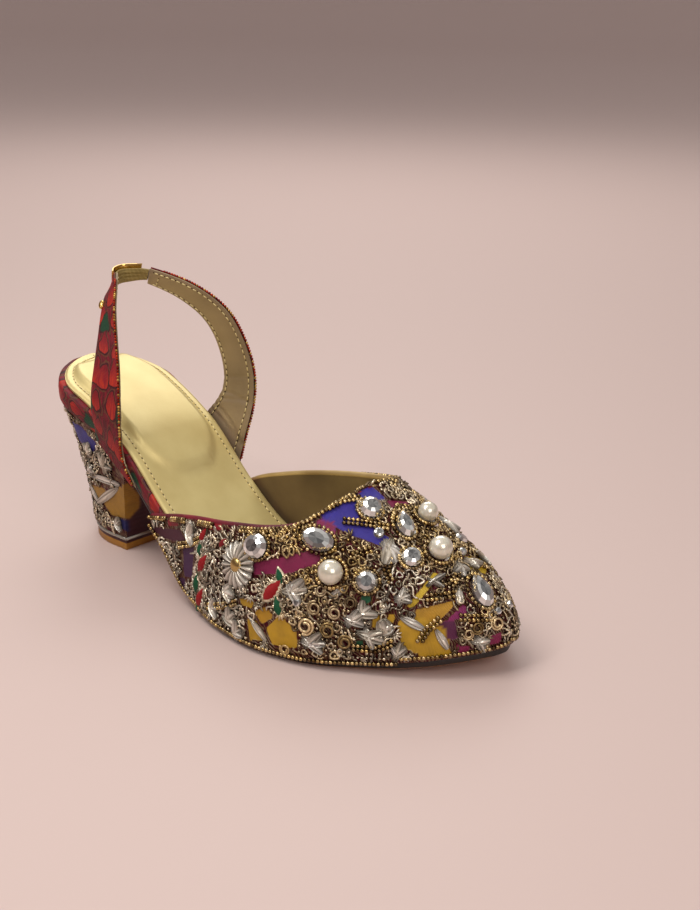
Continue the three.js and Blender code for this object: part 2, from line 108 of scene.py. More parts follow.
# Lockstitches and their needle holes, each hole a flat dark disc of painted shadow: half sizes along, across and up.
# The thread is drawn thick enough to show.
STITCH_PITCH, STITCH_STEP, STITCH_RISE, HOLE_SINK = 2.7, 0.4, 0.12, 0.05
STITCH_SIZE, HOLE_SIZE = (1.05, 0.3, 0.26), (0.5, 0.42, 0.14)
# Inset of the sock's stitch line, and its first and last station.
SOCK_STITCH_INSET, SOCK_STITCHES = 5.2, (3.4, 150)

# station, centre, lateral, medial, feather, depth, ridge
LAST = np.array([
    (0, 0.9, 29.5, 26, 67, 10, 130),
    (12, 0, 29.5, 26, 63.6, 10, 126),
    (30, -1.5, 28.5, 27, 58.3, 10, 120),
    (59, -3.8, 29, 26, 46.2, 10, 108),
    (89, -6.2, 29.5, 25.5, 22.6, 10, 93),
    (114, -8.2, 33.5, 29, 6.3, 9.3, 81),
    (139, -9.5, 39.5, 36, 3, 7.9, 72),
    (160, -9.1, 42.5, 39.5, 3, 7.8, 65.5),
    (178, -7.8, 40.5, 38, 3, 7.8, 58),
    (203, -5, 30.5, 30, 4.4, 7.8, 45),
    (220, -2.7, 22, 21.5, 6.6, 7.8, 36),
    (231, -1, 15.5, 15, 8.6, 7.8, 30),
    (241, 0.5, 10, 10, 10.4, 7.8, 25),
])
# station, lateral height, medial height of the vamp's top edge
TOPLINE = np.array([
    (84.5, 29.8, 30.4), (92, 31.9, 34.2), (105, 36, 39), (120, 39.8, 43.5), (142, 44.4, 48.4),
    (158, 47.4, 51.4), (168, 50, 54), (174, 54.6, 56.8), (177, 58.8, 58.8),
])
# foot and head station of the vamp's ribs behind the toe
RIBS = np.array([
    (84.5, 84.5), (89, 89), (95, 95.5), (102, 103), (109, 111), (116, 119), (123, 127), (130, 135),
    (137, 143), (143, 151), (149, 158.5), (154, 164.5), (159, 169), (163.5, 172.2), (167.5, 174.2),
    (171, 175.6), (174, 176.5), (177, 177), (182, 181.5), (188, 186.5),
])
TOE_RIBS = 9
# The wall's outer face, the face between cloth and lining, and the gap there.
OUTER, PLY, PLY_GAP = VAMP_CLEARANCE + VAMP_WALL, VAMP_CLEARANCE + 1.0, 0.05
BINDING_RADIUS = 1.2
# Steps from rib to rib and up each rib, and steps down and round the heel.
CLOTH_MESH, LINING_MESH, BINDING_MESH, SKIN_MESH, HEEL_MESH = (7, 56), (3, 24), (6, 8), (6, 48), (60, 90)
# Rows of the skin's grid at the throat and where the toe's bead row begins.
THROAT_ROW = (len(RIBS) - 3) * SKIN_MESH[0]
TOE_ROW = THROAT_ROW + 30

# Sling: rear and front edge of the middle layer, from the footbed to the tip.
LATERAL_STRAP = np.array([
    [(46, -33, 53.4), (72, -35.4, 38.4)], [(45.6, -33.8, 60), (64.6, -35, 49.5)],
    [(46, -35.4, 68), (64.2, -35.6, 62)], [(45.8, -34.6, 77), (63.3, -34.8, 74)],
    [(45.1, -31.9, 87.3), (59.8, -31.8, 87)], [(42.4, -27.4, 97), (54.5, -28, 97.5)],
    [(38.2, -22, 104.6), (47.4, -22.4, 108.2)], [(33, -15.6, 109.4), (39.6, -15, 115.4)],
    [(28.7, -8.1, 112), (31.5, -8, 119.8)],
])
MEDIAL_STRAP = np.array([
    [(50, 24.8, 51.6), (75.5, 22.5, 36)], [(54, 25.4, 56), (77.6, 24, 48)],
    [(58, 26.2, 61), (79.4, 26.4, 60)], [(60.9, 27.4, 67.2), (80, 27.5, 71)],
    [(61.9, 27.2, 75.1), (79.3, 26.6, 82.2)], [(61, 25.6, 84.6), (76.3, 24, 94)],
    [(59.3, 22.3, 94.1), (72.7, 20, 104)], [(55.3, 18.8, 101.4), (66.8, 16, 110.8)],
    [(48.3, 14.5, 107.4), (58.8, 11.5, 116)], [(41, 11, 111), (49.9, 8, 119)],
    [(34.9, 7.1, 113.6), (39.6, 4.5, 121.2)],
])
ELASTIC = np.array([
    [(29.8, -6.7, 112.6), (30.9, -7.5, 118.8)], [(27.6, -4.4, 113.2), (28.4, -4.8, 119.4)],
    [(27.1, -1.2, 113.6), (28.1, -1.2, 119.9)], [(28.9, 2.2, 114.1), (30.8, 1.6, 120.1)],
    [(31.9, 4.7, 114.8), (34.5, 3.5, 120.4)], [(35.2, 6.45, 115.2), (38.4, 4.75, 120.3)],
])
ELASTIC_THICKNESS = 1.4
CLIP_THICKNESS = 1
CLIP_LOW, CLIP_HIGH, CLIP_ROWS = 0.35, 1.25, 5
# Bands: share of the thickness rounded off at the edges, how far in, and where the two plies meet.
EDGE_ROUND, EDGE_ROUND_WIDTH, PLY_JOINT = 0.32, 0.8, 0.1
# Steps along brocade, lining and elastic, step of the stitches at the tip, and stitch lines as shares of the width.
COVER_STEPS, STRAP_STEPS, ELASTIC_STEPS, TIP_STEP, STITCH_SHARES = 110, 220, 60, -12, (0.13, 0.87)
# Beaded piping of the front edge, and the stud near the outer tip with its half sizes along, across and up.
PIPING_PITCH, PIPING_OUT, PIPING_RADIUS, PIPING_STEPS, PIPING_SPAN = 1.25, 0.7, 0.62, 400, slice(8, -20)
STUD_STEPS, STUD_STEP, STUD_SHARE, STUD_RISE, STUD_SIZE = 90, 72, 0.06, 1.3, (2.4, 1.5, 1.2)
# Creases of the straps' lining: run from the footbed, slant across and depth, in millimetres.
STRAP_CREASES = [
    (7, 0.5, 0.3), (11, 0.2, 0.22), (15.5, 0.35, 0.34), (20, -0.1, 0.24), (25.5, 0.25, 0.26), (33, 0.1, 0.16),
]
CREASE_WIDTH = 1.1

# Jewels: radius of the pearls; half sizes of the stones along, across and up, and turn of the long way in degrees.
PEARLS = {"pearl_lateral": 4.7, "pearl_toe": 4.5, "pearl_ridge": 3.9, "pearl_medial": 4.7}
STONES = {
    "stone_toe": (6.6, 4.5, 2.0, -20), "stone_drop": (6.0, 4.0, 2.0, -30), "stone_throat": (4.4, 4.4, 2.2, 0),
    "stone_wing": (5.3, 4.8, 2.0, 0), "stone_oval": (6.6, 4.4, 2.0, 0), "stone_low": (4.2, 4.2, 1.8, 0),
    "stone_middle": (3.9, 3.9, 1.8, 0), "stone_medial_wing": (5.3, 5.3, 2.0, 0),
    "stone_medial_toe": (6.0, 4.2, 2.0, 25),
}
DROP_STONES = ("stone_toe", "stone_drop")
STONE_SIDES = 12

# Rings round a place, in photo pixels, for a patch's cover, its colour and the thread work kept clear of it.
COVER_RING, SPREAD_RING, CLEAR_RING = 1.0, 4.0, 2.5
# Cloth patches of the vamp, charted as outlines in photo pixels.
PATCHES = [
    ("#2f2493", [(321, 514), (346, 496), (372, 486), (386, 499), (362, 510), (358, 518), (394, 541), (384, 547),
                 (346, 533), (323, 521)]),
    ("#7d0d44", [(252, 563), (285, 557), (319, 548), (321, 564), (290, 573), (254, 575)]),
    ("#860f4c", [(316, 519), (334, 521), (336, 540), (326, 552), (318, 536)]),
    ("#7d0d44", [(386, 500), (408, 502), (407, 509), (392, 508)]),
    ("#86135c", [(446, 621), (463, 604), (469, 610), (462, 619)]),
    ("#55123f", [(440, 621), (456, 622), (458, 640), (446, 640)]),
    ("#860f4c", [(456, 645), (470, 646), (468, 654), (458, 654)]),
    ("#7d0d44", [(489, 636), (502, 632), (500, 643), (490, 645)]),
    ("#471028", [(148, 526), (180, 530), (188, 545), (164, 538)]),
    ("#8a1626", [(168, 519), (178, 519), (178, 526), (168, 526)]),
    ("#9c1a2a", [(202, 520), (222, 521), (222, 530), (203, 530)]),
    ("#7c1426", [(248, 523), (284, 522), (284, 529), (248, 531)]),
    ("#3f1446", [(183, 546), (194, 546), (192, 578), (184, 576)]),
    ("#3f1446", [(174, 577), (185, 578), (187, 598), (179, 594)]),
    ("#c3981f", [(239, 597), (254, 601), (252, 608), (242, 605)]),
    ("#b98a1a", [(254, 611), (266, 607), (274, 617), (262, 624)]),
    ("#c3981f", [(247, 617), (256, 621), (268, 640), (250, 640)]),
    ("#c3981f", [(266, 628), (280, 615), (297, 632), (297, 649), (272, 644)]),
    ("#c3981f", [(397, 620), (424, 616), (446, 628), (452, 657), (424, 658), (402, 646)]),
    ("#b98a1a", [(414, 610), (440, 604), (456, 600), (452, 608), (438, 622), (418, 619)]),
    ("#cfae24", [(434, 572), (440, 575), (414, 607), (406, 608)]),
    ("#cfae24", [(464, 556), (487, 560), (486, 574), (470, 570)]),
    ("#c3981f", [(371, 615), (380, 616), (379, 630), (373, 628)]),
    ("#c3981f", [(387, 614), (395, 615), (394, 622), (388, 622)]),
    ("#0f5a38", [(361, 592), (371, 594), (370, 604), (362, 603)]),
    ("#0f5a38", [(354, 641), (364, 641), (363, 650), (355, 650)]),
]
# Satin leaves: photo pixel, half length in millimetres, turn from the foot's line in degrees, colour.
LEAVES = [
    ((205, 534), 3.4, 60, "#a8151d"), ((201, 549), 3.6, 80, "#0c5a38"), ((205, 562), 5.0, 55, "#a8151d"),
    ((198, 582), 4.4, 80, "#0c5a38"), ((202, 597), 5.0, 62, "#a8151d"), ((198, 608), 2.4, 70, "#0c5a38"),
    ((223, 543), 2.6, 50, "#8e1620"), ((280, 577), 3.0, 120, "#0c5a38"), ((273, 588), 5.2, 58, "#a8151d"),
    ((278, 604), 3.6, 110, "#0c5a38"),
]
# Folded ribbons of silver tissue: photo pixel, half length and half width in millimetres, turn in degrees.
RIBBONS = [
    ((191, 533), 4.2, 3.6, 10), ((227, 592), 5.0, 3.2, 20), ((229, 619), 5.2, 3.4, 35), ((292, 589), 5.0, 3.4, 15),
    ((351, 621), 4.6, 3.0, 40), ((367, 636), 5.2, 2.8, -15), ((360, 614), 4.2, 2.6, 60), ((387, 629), 3.2, 4.2, 75),
    ((388, 549), 5.0, 3.4, -25), ((312, 641), 5.4, 2.8, 10), ((238, 632), 4.4, 2.8, 50), ((214, 606), 3.6, 2.2, 10),
    ((470, 563), 3.4, 2.4, 30), ((400, 600), 3.6, 2.2, 40), ((477, 640), 3.4, 2.2, -10), ((398, 653), 3.6, 2.2, 80),
    ((432, 582), 3.8, 1.4, 40),
]
# Flat silver bands over the patches: end pixels and half width in millimetres.
BANDS = [
    ((400, 617), (423, 629), 1.1), ((251, 617), (267, 640), 1.0), ((459, 586), (459, 604), 1.0),
    ((436, 628), (446, 648), 1.0), ((330, 600), (344, 590), 0.9),
]
# Curls of coiled wire: photo pixel and radius in millimetres.
RING_COILS = [
    ((307, 624), 3.9), ((330, 628), 3.5), ((345, 643), 3.4), ((335, 613), 3.0), ((497, 624), 3.2), ((316, 606), 3.2),
    ((352, 604), 2.8), ((478, 628), 2.8), ((468, 634), 2.4), ((286, 648), 2.6), ((484, 612), 2.4), ((322, 590), 2.6),
]
# Pleated ribbon flowers: photo pixel, radius in millimetres.
ROSETTES = [((239, 565), 8.8), ((371, 509), 6.0)]
# Bead bars drawn as lines of photo pixels, two rows each.
BEAD_BARS = [
    [(328, 506), (344, 502), (359, 499)], [(345, 522), (366, 523), (391, 529)],
    [(427, 597), (441, 596), (456, 595)], [(462, 617), (476, 617), (491, 617)],
    [(438, 620), (428, 630), (418, 641)], [(459, 574), (454, 580), (449, 587)],
    [(210, 606), (224, 605), (237, 602)], [(390, 560), (386, 570), (390, 582)],
    [(352, 648), (374, 648), (394, 642)], [(181, 545), (192, 543), (202, 539)],
    [(372, 550), (362, 553), (350, 556)], [(398, 508), (410, 510), (420, 513)],
]
# Small crystals: photo pixel, half length and half width in millimetres, turn in degrees.
SMALL_STONES = [
    ((379, 535), 2.2, 2.2, 0), ((430, 522), 3.4, 2.2, 20), ((415, 561), 2.4, 3.6, 0), ((329, 541), 2.0, 2.0, 0),
    ((447, 560), 1.8, 1.8, 0), ((299, 600), 1.8, 1.8, 0), ((318, 641), 3.0, 1.8, 10), ((497, 612), 1.6, 1.6, 0),
]
# Drifts of gold and silver thread: photo pixel, radius in pixels and share of gold.
GILT_ZONES = [
    ((165, 560), 30, 0.05), ((225, 605), 30, 0.1), ((285, 540), 22, 0.95), ((355, 541), 22, 0.8),
    ((328, 575), 22, 0.9), ((400, 580), 26, 0.1), ((441, 546), 24, 0.8), ((485, 622), 30, 0.35),
    ((318, 622), 26, 0.55), ((375, 635), 24, 0.1), ((260, 560), 20, 0.3), ((450, 590), 22, 0.6),
    ((110, 470), 40, 0.25),
]
# Stretches of the top edge, by station, where the bead rows give way to plain cloth.
BARE_TOPLINE = [(96, 100), (112, 120), (131, 146)]
# Bead rows along the edges and bars, their rows of the skin's grid at the top edge, and the ring round a jewel.
ROW_PITCH, ROW_RISE, ROW_RADIUS, ROW_CLEARANCE, BAR_HALF = 1.62, 0.7, 0.86, 1.1, 0.85
TOP_ROWS = (-3, -5)
RING_BEADS, RING_BEAD_RADIUS = 24, 0.85
# Half length of the leaf shape before it is scaled.
PETAL_LENGTH = 3.6
# Thread work between the ornaments: least distances, draws, and shares of fan, loop, wave, bar and curl.
COIL_SPACING, BEAD_SPACING, SCATTER_TRIES = 2.05, 1.55, 26000
COIL_SHARES = (0.14, 0.4, 0.18, 0.2, 0.08)
# Cloth patches of the heel cover, in photo pixels.
HEEL_PATCHES = [
    ("#2f2a86", [(71, 420), (82, 427), (97, 444), (93, 453), (82, 443), (74, 434)]),
    ("#a87c22", [(89, 484), (104, 488), (107, 493), (100, 502), (93, 498)]),
    ("#a87c22", [(104, 503), (117, 488), (128, 483), (139, 494), (140, 507), (129, 519), (112, 515)]),
    ("#1d2160", [(119, 518), (129, 521), (129, 532), (121, 528)]),
]
# Tissue and bands of the heel cover, as on the vamp.
HEEL_RIBBONS = [
    ((106, 465), 5.6, 2.0, 60), ((90, 450), 3.6, 2.6, 70), ((119, 524), 3.0, 2.4, 10), ((92, 470), 3.4, 2.2, 40),
]
HEEL_BANDS = [((84, 485), (100, 502), 1.3), ((118, 487), (100, 502), 1.3), ((92, 474), (118, 484), 1.2)]


def hex_linear(code):
    """Linear colour of an sRGB hex value."""
    value = np.array([int(code[k:k + 2], 16) for k in (1, 3, 5)]) / 255
    return tuple(np.where(value <= 0.04045, value / 12.92, ((value + 0.055) / 1.055) ** 2.4)) + (1.0,)


def monotone(knots, values):
    """Monotone cubic: Hermite pieces whose slopes are the harmonic means of neighbouring chords."""
    x, y = np.asarray(knots, float), np.asarray(values, float)
    chord = np.diff(y) / np.diff(x)
    before, after = np.r_[chord[:1], chord], np.r_[chord, chord[-1:]]
    rising = before * after > 0
    slope = np.where(rising, 2 * before * after / np.where(rising, before + after, 1), 0)

    def at(s):
        s = np.clip(s, x[0], x[-1])
        i = np.clip(np.searchsorted(x, s) - 1, 0, len(x) - 2)
        h = x[i + 1] - x[i]
        t = (s - x[i]) / h
        start = y[i] + h * t * (1 - t) ** 2 * slope[i]
        return start + t * t * (3 - 2 * t) * (y[i + 1] - y[i]) - h * t * t * (1 - t) * slope[i + 1]
    return at


centre, lateral, medial, feather, depth, ridge = [monotone(LAST[:, 0], LAST[:, k]) for k in range(1, 7)]
top_lateral = monotone(TOPLINE[:, 0], TOPLINE[:, 1])
top_medial = monotone(TOPLINE[:, 0], TOPLINE[:, 2])


def smooth(t):
    """Soft step from 0 to 1."""
    t = np.clip(t, 0, 1)
    return t * t * (3 - 2 * t)


def bed(s):
    """Top of the footbed above the floor."""
    return feather(s) + depth(s)


def toe_close(s, off, power):
    """Share of the width or height left where the toe closes: (1 - q^4)^power, q from 0 to 1."""
    q = np.clip((s - TOE_ROUND_STATION) / (LENGTH + off - TOE_ROUND_STATION), 0, 1)
    return (1 - q ** 4) ** power


def half(s, side, off):
    """Half width of the last's outline moved out by off, with a round heel and toe."""
    back = np.clip((s + off) / (HEEL_ROUND + off), 0, 1)
    width = np.where(side < 0, lateral(s), medial(s)) + off
    return width * np.sqrt(1 - (1 - back) ** 2) * toe_close(s, off, TOE_WIDTH_POWER)


def foot_height(s, y, off):
    """Height of the foot's surface: a superellipse across each section, from the feather line to the ridge."""
    side = np.where(y < centre(s), LATERAL, MEDIAL)
    width = half(s, side, off)
    across = np.clip(np.abs(y - centre(s)) / np.maximum(width, 1e-6), 0, 1)
    rise = (ridge(s) - VAMP_WALL + off - feather(s)) * toe_close(s, off, TOE_HEIGHT_POWER)
    return feather(s) + rise * (1 - across ** FULLNESS) ** (1 / FULLNESS)


def row_frame(points):
    """Points counted from the heel moved to the row's own frame."""
    return np.asarray(points, float) - (ORIGIN_STATION, 0, 0)


# The photo's view

def camera_basis():
    """Right, up and back of the camera and its place, from azimuth, elevation, roll and distance."""
    a, e, r = np.radians([AZIMUTH, ELEVATION, ROLL])
    back = np.array([np.sin(a) * np.cos(e), -np.cos(a) * np.cos(e), np.sin(e)])
    right = np.cross((0, 0, 1), back)
    right /= np.linalg.norm(right)
    up = np.cross(back, right)
    right, up = np.cos(r) * right + np.sin(r) * up, np.cos(r) * up - np.sin(r) * right
    return right, up, back, AIM + back * DISTANCE


RIGHT, UP, BACK, EYE = camera_basis()


def project(points):
    """Photo pixel of each point, by central projection."""
    away = points - EYE
    share = FOCAL / -(away @ BACK)
    return np.stack([PHOTO[0] / 2 + (away @ RIGHT) * share, PHOTO[1] / 2 - (away @ UP) * share], axis=-1)


def inside(pixels, outline):
    """True where a pixel lies in a polygon: odd number of edges crossed to its right."""
    x, y = pixels[..., 0], pixels[..., 1]
    crossed = np.zeros(x.shape, bool)
    for (ax, ay), (bx, by) in zip(outline, outline[1:] + outline[:1]):
        straddles = (ay > y) != (by > y)
        crossed ^= straddles & (x < ax + (y - ay) * (bx - ax) / (by - ay + 1e-9))
    return crossed


def near_shifts(reach):
    """Small moves in the picture, on a ring and at its middle."""
    phi = np.linspace(0, 2 * np.pi, 8, endpoint=False)
    return [(0.0, 0.0)] + list(zip(reach * np.cos(phi), reach * np.sin(phi)))


def charted(points, normals, chart):
    """Colour and cover of charted patches at each point's place in the photo.

    Cover is the share of a small ring round the point that lies in a patch; the colour runs a little past the edge.
    """
    pixels = project(row_frame(points))
    colour = np.zeros(points.shape[:-1] + (4,))
    faces_camera = np.sum((EYE - row_frame(points)) * normals, axis=-1) > 0
    for code, outline in chart:
        cover, spread = ([inside(pixels + shift, outline) for shift in near_shifts(ring)]
                         for ring in (COVER_RING, SPREAD_RING))
        cover, spread = np.mean(cover, axis=0) * faces_camera, np.any(spread, axis=0) & faces_camera
        colour[spread & (cover >= colour[..., 3]), :3] = hex_linear(code)[:3]
        colour[..., 3] = np.maximum(colour[..., 3], cover)
    return colour, faces_camera


# Mesh making

def unit(vectors):
    """Vectors of length one."""
    return vectors / np.maximum(np.linalg.norm(vectors, axis=-1, keepdims=True), 1e-9)


def arc(points):
    """Running length along rows of points."""
    steps = np.linalg.norm(np.diff(points, axis=0), axis=-1)
    return np.concatenate([np.zeros((1,) + steps.shape[1:]), np.cumsum(steps, axis=0)])


def along_line(line, at):
    """Points of a line at given running lengths."""
    run = arc(line)
    return np.stack([np.interp(at, run, line[:, k]) for k in range(3)], -1)


def even_places(line, pitch):
    """Points at an even pitch along a line, from its start."""
    return along_line(line, np.arange(0, arc(line)[-1], pitch))


def grid_normals(points):
    """Unit normals of a grid: cross product of its two directions."""
    return unit(np.cross(np.gradient(points, axis=0), np.gradient(points, axis=1)))


def grid_faces(rows, cols, around=False, flip=False):
    """Quads of a grid of rows by cols points; around joins the last column to the first."""
    i, j = np.meshgrid(np.arange(rows - 1), np.arange(cols if around else cols - 1), indexing="ij")
    k = (j + 1) % cols
    faces = np.stack([i * cols + j, (i + 1) * cols + j, (i + 1) * cols + k, i * cols + k], -1).reshape(-1, 4)
    return faces[:, ::-1] if flip else faces


def end_cap(count):
    """Quads across the first ring of a closed section, from one side to the other."""
    k = np.arange(count // 2 - 1)
    return np.stack([k, k + 1, count - 2 - k, count - 1 - k], -1)


def slab(upper, lower):
    """Closed sheet between two equal grids: both skins and the strip round their border."""
    rows, cols = upper.shape[:2]
    n = rows * cols
    ids = np.arange(n).reshape(rows, cols)
    rim = np.concatenate([ids[:-1, 0], ids[-1, :-1], ids[:0:-1, -1], ids[0, :0:-1]])
    after = np.roll(rim, -1)
    border = np.stack([rim, rim + n, after + n, after], -1)
    faces = np.concatenate([grid_faces(rows, cols), grid_faces(rows, cols, flip=True) + n, border])
    return np.concatenate([upper.reshape(-1, 3), lower.reshape(-1, 3)]), faces


def capped(rings, flip=False):
    """Closed skin over rings of points: the wall between them and a fan over the first and the last ring."""
    rows, cols = rings.shape[:2]
    j = np.arange(cols)
    k, last = (j + 1) % cols, (rows - 1) * cols
    first_hub, last_hub = np.full(cols, rows * cols), np.full(cols, rows * cols + 1)
    faces = np.concatenate([
        np.stack([first_hub, j, k, first_hub], -1), grid_faces(rows, cols, around=True),
        np.stack([last + j, last_hub, last_hub, last + k], -1)])
    points = np.concatenate([rings.reshape(-1, 3), rings[[0, -1]].mean(axis=1)])
    return points, faces[:, ::-1] if flip else faces


def weld(points, faces):
    """Joins points that coincide and drops faces that lose a corner pair."""
    keys, index = np.unique(np.round(points, 5), axis=0, return_inverse=True)
    faces = index.reshape(-1)[faces]
    sound = (faces[:, 0] != faces[:, 2]) & (faces[:, 1] != faces[:, 3])
    return keys, faces[sound]


def cube_sphere(n):
    """Unit ball of quads: the six sides of a cube, n by n, pushed out to the sphere."""
    a = np.tan(np.linspace(-np.pi / 4, np.pi / 4, n + 1))
    u, v = np.meshgrid(a, a, indexing="ij")
    one = np.ones_like(u)
    sides = [(u, v, one), (v, u, -one), (one, u, v), (-one, v, u), (v, one, u), (u, -one, v)]
    points = unit(np.concatenate([np.stack(s, -1).reshape(-1, 3) for s in sides]))
    return weld(points, np.concatenate([grid_faces(n + 1, n + 1) + k * (n + 1) ** 2 for k in range(6)]))


def tube(path, radius, sides=8):
    """Round cord along a path: circles square to it, closed at both ends."""
    along = unit(np.gradient(path, axis=0))
    across = unit(np.cross(along, (0, 0, 1)))
    rise = np.cross(across, along)
    phi = np.linspace(0, 2 * np.pi, sides, endpoint=False)[None, :, None]
    reach = np.broadcast_to(radius, len(path))[:, None, None]
    points = path[:, None] + reach * (across[:, None] * np.cos(phi) + rise[:, None] * np.sin(phi))
    k = np.arange(1, sides - 1, 2)
    cap = np.stack([np.zeros_like(k), k, k + 1, np.minimum(k + 2, sides - 1)], -1)
    wall = grid_faces(len(path), sides, around=True)
    return points.reshape(-1, 3), np.concatenate([wall, cap, cap[:, ::-1] + (len(path) - 1) * sides])


def stamp(template, places, scale=1.0, stretch=1.0):
    """Copies of a small shape: local (a, b, c) goes to place + a heading + b side + c normal."""
    points, faces = template
    origin, heading, normal = places
    axes = np.stack([heading, np.cross(normal, heading), normal], axis=1)
    axes = axes * np.broadcast_to(scale, len(origin))[:, None, None]
    local = points[None] * np.broadcast_to(stretch, (len(origin), 3))[:, None]
    moved = origin[:, None] + np.einsum("kvc,kcx->kvx", local, axes)
    shifted = faces[None] + (np.arange(len(origin)) * len(points))[:, None, None]
    return moved.reshape(-1, 3), shifted.reshape(-1, faces.shape[1])


def turned(normal, tangent, degrees):
    """Tangent laid into the surface and turned about the normal."""
    flat = unit(tangent - normal * np.sum(tangent * normal, axis=-1, keepdims=True))
    angle = np.radians(np.asarray(degrees, float))[..., None]
    return flat * np.cos(angle) + np.cross(normal, flat) * np.sin(angle)


def along_foot(normal, degrees=0):
    """Headings in the surface, turned from the foot's line by an angle for all or for each."""
    return turned(normal, np.broadcast_to((1.0, 0.0, 0.0), normal.shape), np.broadcast_to(degrees, len(normal)))


def new_mesh(name, points, faces, material):
    """Mesh of quads; a quad with a repeated corner becomes a triangle."""
    mesh = bpy.data.meshes.new(name)
    rows = (list(dict.fromkeys(face)) for face in np.asarray(faces).tolist())
    mesh.from_pydata(points.tolist(), [], [face for face in rows if len(face) > 2])
    mesh.materials.append(material)
    return mesh


def add_piece(name, points, faces, material, slot, replaces=(), facets=False, **attributes):
    """Object in the row's frame from points in millimetres, riding on the shoe."""
    mesh = new_mesh(name, np.reshape(points, (-1, 3)) * MM, faces, material)
    kinds = {1: ("FLOAT", "value"), 3: ("FLOAT_VECTOR", "vector"), 4: ("FLOAT_COLOR", "color")}
    for key, values in attributes.items():
        values = np.asarray(values, float)
        width = 1 if values.ndim == 1 else values.shape[-1]
        kind, field = kinds[width]
        domain = "POINT" if values.size == len(mesh.vertices) * width else "FACE"
        mesh.attributes.new(key, kind, domain).data.foreach_set(field, values.ravel())
    mesh.polygons.foreach_set("use_smooth", np.full(len(mesh.polygons), not facets))
    mesh.update()
    piece = bpy.data.objects.new(name, mesh)
    bpy.context.scene.collection.objects.link(piece)
    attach(piece, "root")
    if replaces:
        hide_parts(*replaces)
    return piece


def crease(piece, degrees):
    """Sharp shading across edges steeper than an angle."""
    piece.data.set_sharp_from_angle(angle=math.radians(degrees))
    return piece


def merge(piece):
    """Joins the coinciding points along the seams of a piece."""
    made = bmesh.new()
    made.from_mesh(piece.data)
    bmesh.ops.remove_doubles(made, verts=made.verts, dist=2e-6)
    made.to_mesh(piece.data)
    made.free()
    return crease(piece, 50)


# Finishes

COLOUR = {"data_type": "RGBA"}
MULTIPLY, MULTIPLY_ADD, SUBTRACT, ABSOLUTE = (
    {"operation": word} for word in ("MULTIPLY", "MULTIPLY_ADD", "SUBTRACT", "ABSOLUTE"))
# Millimetres from band to band of a wave texture at scale 1: along an axis, on a flat and on a solid diagonal.
WAVE_BAND, FLAT_DIAGONAL, DIAGONAL = math.pi / 10, math.pi / (5 * math.sqrt(2)), math.pi / (5 * math.sqrt(3))


class Finish:
    """Node material of one real finish."""

    def __init__(self, name):
        self.material = bpy.data.materials.new(name)
        self.material.use_nodes = True
        self.tree = self.material.node_tree

    def fill(self, socket, value):
        """Links a socket to an output, or sets its value; a hex colour is made linear."""
        if isinstance(value, bpy.types.NodeSocket):
            self.tree.links.new(value, socket)
        else:
            socket.default_value = hex_linear(value) if isinstance(value, str) else value

    def add(self, kind, *inputs, out=0, **settings):
        """Adds a node and gives an output, by number or name, or all of them.

        Settings in small letters are the node's properties; the others are inputs, in order or by name.
        """
        made = self.tree.nodes.new("ShaderNode" + kind)
        for key in filter(str.islower, settings):
            setattr(made, key, settings[key])
        for socket, value in zip([socket for socket in made.inputs if socket.enabled], inputs):
            self.fill(socket, value)
        for key in settings:
            if not key.islower():
                self.fill(made.inputs[key], settings[key])
        live = [socket for socket in made.outputs if socket.enabled]
        return live[out] if isinstance(out, int) else made.outputs if out is None else made.outputs[out]

    def shade(self, **sockets):
        """Fills the shader's sockets, an underscore standing for a space, and gives the material."""
        shader = self.tree.nodes["Principled BSDF"]
        for key, value in sockets.items():
            self.fill(shader.inputs[key.replace("_", " ")], value)
        return self.material

    def place_mm(self):
        """Object coordinates in millimetres."""
        return self.add("VectorMath", self.add("TexCoord", out="Object"), 1 / MM, operation="SCALE")


